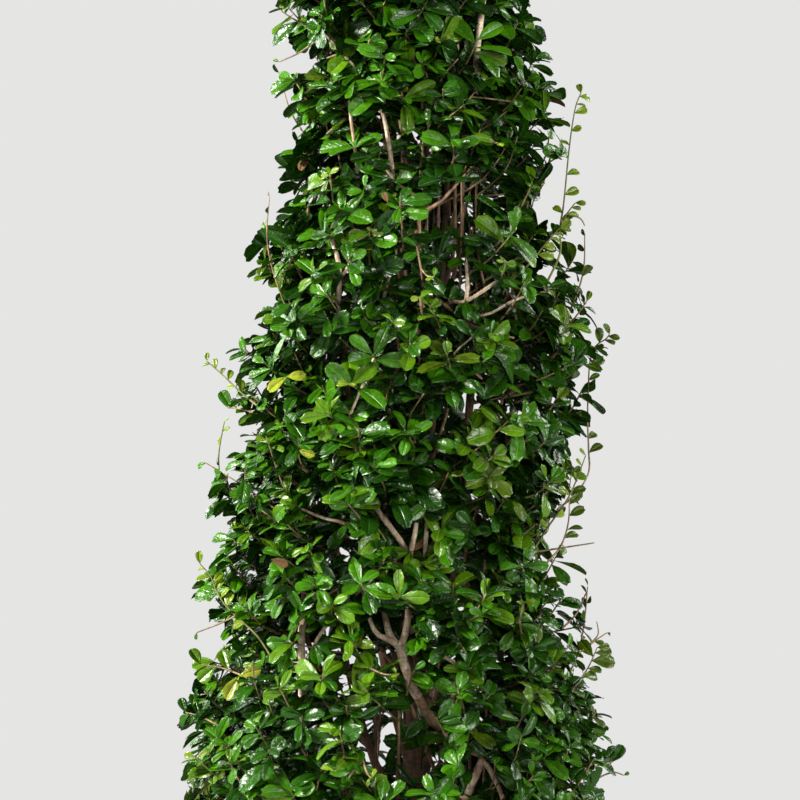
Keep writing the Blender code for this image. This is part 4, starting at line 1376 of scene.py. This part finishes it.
def build_pot(material):
    """A plain thrown pot: tapered wall, rolled band, faint rings from the wheel."""
    band = POT_HEIGHT - POT_BAND_HEIGHT
    body = POT_RIM_RADIUS - POT_BAND_OUT
    inside = body - POT_WALL
    worn = 0.004
    band_edge = 0.0035
    lip = 0.005
    profile = [(0, 0)]
    profile += corner_arc(POT_FOOT_RADIUS - worn, worn, worn, -90, -8)
    for row in range(1, POT_ROWS):
        height = worn + (band - 2 * worn) * (row / POT_ROWS)
        radius = POT_FOOT_RADIUS + (body - POT_FOOT_RADIUS) * height / POT_HEIGHT
        ripple = sum(high * math.sin(height * pitch + shift) for high, pitch, shift in POT_RINGS)
        profile.append((radius - POT_UNEVEN + ripple, height))
    under = POT_FOOT_RADIUS + (body - POT_FOOT_RADIUS) * band / POT_HEIGHT
    profile += [(under, band - 0.002), (under + 0.001, band)]
    profile += corner_arc(POT_RIM_RADIUS - band_edge, band + band_edge, band_edge, -90, 0)
    profile += [(POT_RIM_RADIUS - 0.0004, band + 0.016), (POT_RIM_RADIUS - 0.0004, band + 0.026)]
    profile += corner_arc(POT_RIM_RADIUS - lip, POT_HEIGHT - lip, lip, 0, 90)
    profile += corner_arc(inside + worn, POT_HEIGHT - worn, worn, 90, 180)
    profile += [(inside, SOIL_LEVEL), (POT_INSIDE_FOOT_RADIUS, POT_FLOOR), (0, POT_FLOOR)]
    mesh = spun(profile, POT_STEPS)
    for corner in mesh.verts:
        radius = math.hypot(corner.co.x, corner.co.y)
        if radius > 0.05:
            uneven = noise.noise(corner.co * POT_UNEVEN_SCALE) * POT_UNEVEN
            corner.co.x *= 1 + (uneven - POT_UNEVEN) / radius
            corner.co.y *= 1 + (uneven - POT_UNEVEN) / radius
    return finish_object("pot_wall", mesh, material, math.radians(50))


def build_soil(material):
    """Loose potting soil: a crumbly bed, a little higher round the trunk."""
    edge = POT_RIM_RADIUS - POT_BAND_OUT - POT_WALL - SOIL_OFF_POT
    profile = [(0, SOIL_LEVEL - SOIL_DEPTH), (edge - 0.003, SOIL_LEVEL - SOIL_DEPTH)]
    for ring in range(SOIL_RINGS + 1):
        profile.append((edge * (SOIL_RINGS - ring) / SOIL_RINGS, SOIL_LEVEL))
    mesh = spun(profile, SOIL_STEPS)
    for corner in mesh.verts:
        if corner.co.z > SOIL_LEVEL - 0.02:
            flat = Vector((corner.co.x, corner.co.y, 0))
            radius = flat.length
            coarse = noise.noise(flat * 60)
            fine = noise.noise(flat * 240 + Vector((3, 1, 2)))
            mound = SOIL_MOUND * math.exp(-((radius / SOIL_MOUND_WIDTH) ** 2))
            corner.co.z += SOIL_COARSE * coarse + SOIL_FINE * fine + mound - 0.001
    return finish_object("soil_bed", mesh, material)


def build_crumbs(materials):
    """Crumbs of soil and chips of bark that lie on the bed."""
    made = []
    farthest = POT_RIM_RADIUS - POT_BAND_OUT - POT_WALL - CRUMBS_OFF_POT
    for name, count, least, most, flatness, finish in CRUMBS:
        chance = random.Random(count)
        mesh = bmesh.new()
        for _ in range(count):
            radius = farthest * math.sqrt(chance.random())
            turn = chance.uniform(0, 2 * math.pi)
            size = least + (most - least) * chance.random() ** 2
            place = Vector((radius * math.cos(turn), radius * math.sin(turn), SOIL_LEVEL + size * 0.3))
            if radius < CRUMBS_OFF_TRUNK:
                continue
            lump = bmesh.ops.create_icosphere(mesh, subdivisions=1, radius=size)["verts"]
            spin = chance.uniform(0, 2 * math.pi)
            stretch = chance.uniform(*CRUMB_STRETCH)
            shift = Vector((turn * 9, radius * 90, 0))
            for corner in lump:
                rough = 1 + CRUMB_ROUGHNESS * noise.noise(corner.co / size * 1.3 + shift)
                x = corner.co.x * rough * stretch
                y = corner.co.y * rough
                z = corner.co.z * rough * flatness
                turned_x = x * math.cos(spin) - y * math.sin(spin)
                turned_y = x * math.sin(spin) + y * math.cos(spin)
                corner.co = place + Vector((turned_x, turned_y, z))
        made.append(finish_object(name, mesh, materials[finish]))
    return made


# Finishes

# Barks: dark and light colour, scale of the fibres, and depth of the relief
BARKS = {
    # bark of the trunk and boughs, its own brown darkened as painted shade inside the crown
    "old_bark_painted_shade": ((0.048, 0.026, 0.014), (0.22, 0.130, 0.076), 260.0, 0.0009),
    # pale bark of the limbs seen in front, lightened beyond the boughs' bark as painted light
    "pale_bark_painted_light": ((0.330, 0.195, 0.115), (1.00, 0.83, 0.62), 320.0, 0.0010),
    "stem_bark": ((0.085, 0.045, 0.024), (0.42, 0.270, 0.152), 340.0, 0.0006),
    "twig_bark": ((0.095, 0.056, 0.028), (0.43, 0.30, 0.155), 420.0, 0.0004),
    "young_shoot": ((0.090, 0.095, 0.022), (0.27, 0.26, 0.075), 420.0, 0.0003),
    "chip_bark": ((0.045, 0.026, 0.016), (0.17, 0.10, 0.060), 300.0, 0.0006),
}
CLAY_DARK = (0.34, 0.125, 0.062)
CLAY_LIGHT = (0.47, 0.195, 0.105)
CLAY_DUST = (0.60, 0.36, 0.25)
CLAY_BLOOM = (0.62, 0.50, 0.42)
SOIL_DARK = (0.012, 0.008, 0.005)
SOIL_LIGHT = (0.085, 0.055, 0.034)
LEAF_SPECULAR = 0.44
DRY_LEAF_SPECULAR = 0.25
DRY_LEAF_ROUGHNESS = 0.8
LEAF_SHADE = 0.52
LEAF_RELIEF = 0.0009


def add_node(tree, kind, values=None, **settings):
    node = tree.nodes.new(kind)
    for name, value in settings.items():
        setattr(node, name, value)
    for name, value in (values or {}).items():
        socket = node.inputs[name]
        if isinstance(value, bpy.types.NodeSocket):
            tree.links.new(value, socket)
        else:
            socket.default_value = value
    return node


def blend_colours(tree, share, low, high):
    return add_node(
        tree, "ShaderNodeMix", {0: share, 6: low, 7: high}, data_type="RGBA", clamp_factor=True,
    ).outputs[2]


def ranged(tree, value, low, high, to_low=0.0, to_high=1.0):
    """A value brought from one range to another."""
    return add_node(
        tree, "ShaderNodeMapRange",
        {"Value": value, "From Min": low, "From Max": high, "To Min": to_low, "To Max": to_high},
    ).outputs[0]


def maths(tree, operation, first, second=0.0):
    return add_node(tree, "ShaderNodeMath", {0: first, 1: second}, operation=operation).outputs[0]


def squeezed(tree, place, scale):
    """The place for a grain that is drawn out or pressed together along the axes."""
    return add_node(tree, "ShaderNodeMapping", {"Vector": place, "Scale": scale}).outputs[0]


def grain(tree, place, scale, detail=3.0, rough=0.55):
    return add_node(
        tree, "ShaderNodeTexNoise",
        {"Vector": place, "Scale": scale, "Detail": detail, "Roughness": rough},
    ).outputs[0]


def new_group(name, inputs, outputs):
    group = bpy.data.node_groups.new(name, "ShaderNodeTree")
    for label, kind in inputs:
        group.interface.new_socket(name=label, in_out="INPUT", socket_type=kind)
    for label, kind in outputs:
        group.interface.new_socket(name=label, in_out="OUTPUT", socket_type=kind)
    return group, group.nodes.new("NodeGroupInput"), group.nodes.new("NodeGroupOutput")


def bark_group():
    """Bark: long fibres, pale patches, darker pits and rings."""
    group, given, result = new_group(
        "bark_grain",
        (("Dark", "NodeSocketColor"), ("Light", "NodeSocketColor"), ("Scale", "NodeSocketFloat")),
        (("Colour", "NodeSocketColor"), ("Roughness", "NodeSocketFloat"), ("Height", "NodeSocketFloat")),
    )
    place = add_node(group, "ShaderNodeTexCoord").outputs["Object"]
    fibres = grain(group, squeezed(group, place, (1, 1, 0.22)), given.outputs["Scale"], 5.0, 0.65)
    patches = grain(group, place, 46.0, 3.0)
    rings = grain(group, squeezed(group, place, (0.5, 0.5, 3.0)), 130.0, 2.0)
    pale_fibres = ranged(group, fibres, 0.38, 0.62, 0.0, 0.65)
    pale_patches = ranged(group, patches, 0.43, 0.62, 0.0, 0.6)
    light = maths(group, "ADD", pale_fibres, pale_patches)
    light = maths(group, "MULTIPLY", light, ranged(group, rings, 0.30, 0.52, 0.45, 1.0))
    colour = blend_colours(group, light, given.outputs["Dark"], given.outputs["Light"])
    height = maths(group, "ADD", fibres, maths(group, "MULTIPLY", rings, 0.5))
    group.links.new(colour, result.inputs["Colour"])
    group.links.new(ranged(group, fibres, 0.3, 0.7, 0.70, 0.92), result.inputs["Roughness"])
    group.links.new(height, result.inputs["Height"])
    return group


def leaf_group():
    """A leaf's face: pale midrib, faint side veins, and tone that shifts from leaf to leaf."""
    group, given, result = new_group(
        "leaf_face",
        (("Colour", "NodeSocketColor"), ("Dark", "NodeSocketColor"), ("Rib", "NodeSocketColor")),
        (("Colour", "NodeSocketColor"), ("Roughness", "NodeSocketFloat"), ("Height", "NodeSocketFloat")),
    )
    coordinates = add_node(group, "ShaderNodeTexCoord")
    place = coordinates.outputs["Object"]
    parts = add_node(group, "ShaderNodeSeparateXYZ", {0: coordinates.outputs["UV"]})
    across = maths(group, "ABSOLUTE", maths(group, "SUBTRACT", parts.outputs[0], 0.5))
    rib = ranged(group, across, 0.012, 0.040, 1.0, 0.0)
    rising = maths(group, "MULTIPLY", parts.outputs[1], 44.0)
    sloping = maths(group, "SUBTRACT", rising, maths(group, "MULTIPLY", across, 30.0))
    veins = ranged(group, maths(group, "SINE", sloping), 0.55, 1.0, 0.0, 1.0)
    tone = grain(group, place, 34.0, 1.0)
    mottle = grain(group, place, 240.0, 2.0)
    quilt = grain(group, place, 130.0, 1.0)
    from_leaf_to_leaf = ranged(group, tone, 0.34, 0.66, 0.0, 0.85)
    shade = maths(group, "ADD", from_leaf_to_leaf, ranged(group, mottle, 0.35, 0.65, -0.12, 0.14))
    base = blend_colours(group, shade, given.outputs["Dark"], given.outputs["Colour"])
    pale_rib = maths(group, "MULTIPLY", rib, 0.60)
    pale = maths(group, "MAXIMUM", pale_rib, maths(group, "MULTIPLY", veins, 0.05))
    ribbed = blend_colours(group, pale, base, given.outputs["Rib"])
    from_middle = maths(group, "SUBTRACT", maths(group, "MULTIPLY", across, 4.0), 1.0)
    pillow = maths(group, "MULTIPLY", maths(group, "MULTIPLY", from_middle, from_middle), -0.9)
    raised = maths(group, "ADD", maths(group, "MULTIPLY", quilt, 1.8), mottle)
    raised = maths(group, "ADD", raised, pillow)
    sunk = maths(group, "MULTIPLY", veins, 0.16)
    sunk = maths(group, "ADD", maths(group, "MULTIPLY", rib, 0.5), sunk)
    height = maths(group, "SUBTRACT", raised, sunk)
    group.links.new(ribbed, result.inputs["Colour"])
    group.links.new(ranged(group, mottle, 0.3, 0.7, 0.17, 0.32), result.inputs["Roughness"])
    group.links.new(height, result.inputs["Height"])
    return group


def new_material(name):
    material = bpy.data.materials.new(name)
    material.use_nodes = True
    return material, material.node_tree, material.node_tree.nodes["Principled BSDF"]


def bump(tree, shader, height, distance, strength):
    values = {"Height": height, "Distance": distance, "Strength": strength}
    node = add_node(tree, "ShaderNodeBump", values)
    tree.links.new(node.outputs[0], shader.inputs["Normal"])


def solid(colour):
    return (*colour, 1.0)


def bark_finish(name, group, dark, light, scale, depth):
    material, tree, shader = new_material(name)
    node = add_node(tree, "ShaderNodeGroup", node_tree=group)
    node.inputs["Dark"].default_value = solid(dark)
    node.inputs["Light"].default_value = solid(light)
    node.inputs["Scale"].default_value = scale
    tree.links.new(node.outputs["Colour"], shader.inputs["Base Color"])
    tree.links.new(node.outputs["Roughness"], shader.inputs["Roughness"])
    bump(tree, shader, node.outputs["Height"], depth, 0.7)
    return material


def leaf_finish(tint, group):
    """A waxy leaf in one tint, or a dry one."""
    material, tree, shader = new_material("leaf_" + tint)
    colour = LEAF_TINTS[tint]
    dry = tint == "withered"
    node = add_node(tree, "ShaderNodeGroup", node_tree=group)
    node.inputs["Colour"].default_value = solid(colour)
    node.inputs["Dark"].default_value = solid([part * LEAF_SHADE for part in colour])
    node.inputs["Rib"].default_value = solid([min(1, part * 2.0 + 0.02) for part in colour])
    tree.links.new(node.outputs["Colour"], shader.inputs["Base Color"])
    if dry:
        shader.inputs["Roughness"].default_value = DRY_LEAF_ROUGHNESS
    else:
        tree.links.new(node.outputs["Roughness"], shader.inputs["Roughness"])
    shader.inputs["Specular IOR Level"].default_value = DRY_LEAF_SPECULAR if dry else LEAF_SPECULAR
    bump(tree, shader, node.outputs["Height"], LEAF_RELIEF, 0.7)
    return material


def clay_finish():
    """Fired clay: cloudy, with dusty specks and a pale bloom in streaks near the foot."""
    material, tree, shader = new_material("fired_clay")
    place = add_node(tree, "ShaderNodeTexCoord").outputs["Object"]
    parts = add_node(tree, "ShaderNodeSeparateXYZ", {0: place})
    cloud = grain(tree, place, 9.0, 5.0)
    speck = grain(tree, place, 420.0, 2.0)
    streaks = grain(tree, squeezed(tree, place, (1, 1, 0.16)), 34.0, 4.0)
    base = blend_colours(tree, ranged(tree, cloud, 0.35, 0.65), solid(CLAY_DARK), solid(CLAY_LIGHT))
    dusty = blend_colours(tree, ranged(tree, speck, 0.60, 0.75, 0.0, 0.45), base, solid(CLAY_DUST))
    near_foot = ranged(tree, parts.outputs[2], 0.0, 0.11, 1.0, 0.0)
    streaked = ranged(tree, streaks, 0.46, 0.72, 0.0, 0.75)
    bloom = maths(tree, "MULTIPLY", streaked, maths(tree, "ADD", near_foot, 0.22))
    colour = blend_colours(tree, bloom, dusty, solid(CLAY_BLOOM))
    tree.links.new(colour, shader.inputs["Base Color"])
    tree.links.new(ranged(tree, cloud, 0.3, 0.7, 0.74, 0.90), shader.inputs["Roughness"])
    height = maths(tree, "ADD", speck, maths(tree, "MULTIPLY", cloud, 0.6))
    bump(tree, shader, height, 0.0007, 0.5)
    return material


def soil_finish():
    material, tree, shader = new_material("potting_soil")
    place = add_node(tree, "ShaderNodeTexCoord").outputs["Object"]
    coarse = grain(tree, place, 120.0, 6.0, 0.7)
    fine = grain(tree, place, 700.0, 3.0)
    dry = ranged(tree, coarse, 0.35, 0.7, 0.0, 0.7)
    dry = maths(tree, "ADD", dry, ranged(tree, fine, 0.5, 0.8, 0.0, 0.4))
    colour = blend_colours(tree, dry, solid(SOIL_DARK), solid(SOIL_LIGHT))
    tree.links.new(colour, shader.inputs["Base Color"])
    tree.links.new(ranged(tree, coarse, 0.3, 0.7, 0.80, 0.98), shader.inputs["Roughness"])
    bump(tree, shader, maths(tree, "ADD", coarse, fine), 0.0012, 0.8)
    return material


# Stage, light and view

FLOOR_RADIUS = 2.35
FLOOR_COLOUR = (0.31, 0.31, 0.305)
BACKDROP_LIGHT = (0.086, 0.086, 0.072)
BACKDROP_SEEN = (0.783, 0.783, 0.776)
SENSOR = 36
# Round lights: place, height that they aim at on the axis, width, power, colour
LIGHTS = {
    "key": ((-3.0, -1.3, 2.25), 0.95, 1.2, 335, (1.0, 0.98, 0.92)),
    "fill": ((2.5, -1.9, 1.6), 0.9, 1.5, 86, (1.0, 0.99, 0.96)),
    "front": ((0.4, -3.4, 1.5), 0.9, 1.2, 22, (1.0, 0.99, 0.97)),
    "back_left": ((-2.2, 2.3, 2.3), 1.0, 1.6, 48, (1.0, 1.0, 0.98)),
    "back_right": ((2.6, 1.9, 2.4), 1.0, 1.6, 56, (1.0, 1.0, 0.98)),
}


def build_floor():
    mesh = bmesh.new()
    bmesh.ops.create_circle(mesh, cap_ends=True, segments=128, radius=FLOOR_RADIUS)
    material, _, shader = new_material("pale_floor")
    shader.inputs["Base Color"].default_value = solid(FLOOR_COLOUR)
    shader.inputs["Roughness"].default_value = 0.9
    floor = finish_object("floor", mesh, material)


def add_light(name, place, aim, size, power, colour):
    data = bpy.data.lights.new(name, "AREA")
    data.shape = "DISK"
    data.size = size
    data.energy = power
    data.color = colour
    made = bpy.data.objects.new(name, data)
    made.location = place
    made.rotation_euler = (Vector((0, 0, aim)) - Vector(place)).to_track_quat("-Z", "Y").to_euler()
    bpy.context.scene.collection.objects.link(made)


def set_stage():
    """Pale floor and backdrop, soft lights, and a level view of the middle of the crown."""
    build_floor()
    world = bpy.data.worlds.new("studio")
    bpy.context.scene.world = world
    world.use_nodes = True
    tree = world.node_tree
    background = tree.nodes["Background"]
    background.inputs["Strength"].default_value = 1.0
    seen = add_node(tree, "ShaderNodeLightPath").outputs["Is Camera Ray"]
    colour = blend_colours(tree, seen, solid(BACKDROP_LIGHT), solid(BACKDROP_SEEN))
    tree.links.new(colour, background.inputs["Color"])
    for name, values in LIGHTS.items():
        add_light(name, *values)
    data = bpy.data.cameras.new("view")
    data.sensor_width = SENSOR
    data.lens = SENSOR * VIEW_DISTANCE / VIEW_WIDTH
    camera = bpy.data.objects.new("view", data)
    camera.location = (VIEW_SIDE, -VIEW_DISTANCE, VIEW_HEIGHT)
    camera.rotation_euler = (math.radians(90), 0, 0)
    bpy.context.scene.collection.objects.link(camera)
    bpy.context.scene.camera = camera
    bpy.context.scene.view_settings.view_transform = "Standard"


# The pieces

def ride_and_replace(piece, slot, *nodes):
    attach(piece, "root")
    if nodes:
        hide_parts(*nodes)


def main():
    bark_grain = bark_group()
    leaf_face = leaf_group()
    barks = {name: bark_finish(name, bark_grain, *values) for name, values in BARKS.items()}
    clay = clay_finish()
    soil = soil_finish()
    leaf_finishes = {tint: leaf_finish(tint, leaf_face) for tint in LEAF_TINTS}

    spaces = crown_spaces()
    boughs = ["bough_" + space.name for space in spaces if not space.last_tier]
    masses = ["foliage_" + space.name for space in spaces]
    bush = grow_crown(spaces)

    ride_and_replace(build_pot(clay), "clay", "pot")
    ride_and_replace(build_soil(soil), "earth", "soil")
    for piece in build_crumbs({"soil": soil, "chips": barks["chip_bark"]}):
        ride_and_replace(piece, "earth")
    limbs = bush.limbs
    # trunk and boughs in the old bark, darkened as painted shade
    ride_and_replace(build_trunk(barks["old_bark_painted_shade"]), "bark", "trunk")
    bough_bark = build_boughs("bough_bark", limbs["boughs"], barks["old_bark_painted_shade"])
    ride_and_replace(bough_bark, "bark", *boughs)
    # the limbs seen in front take the pale bark, lightened as painted light
    front_limbs = build_boughs("front_limbs", limbs["front"], barks["pale_bark_painted_light"])
    ride_and_replace(front_limbs, "bark", *masses)
    stem_bark = build_twigs("stem_bark", limbs["stems"], barks["stem_bark"], 1)
    ride_and_replace(stem_bark, "bark", *masses)
    fine_twigs = build_twigs("fine_twigs", limbs["twigs"], barks["twig_bark"], 0)
    ride_and_replace(fine_twigs, "bark", *masses)
    young_shoots = build_twigs("young_shoots", limbs["shoots"], barks["young_shoot"], 0)
    ride_and_replace(young_shoots, "foliage", *masses)
    for piece in build_leaves(bush, leaf_finishes):
        ride_and_replace(piece, "foliage", *masses)
    set_stage()


main()
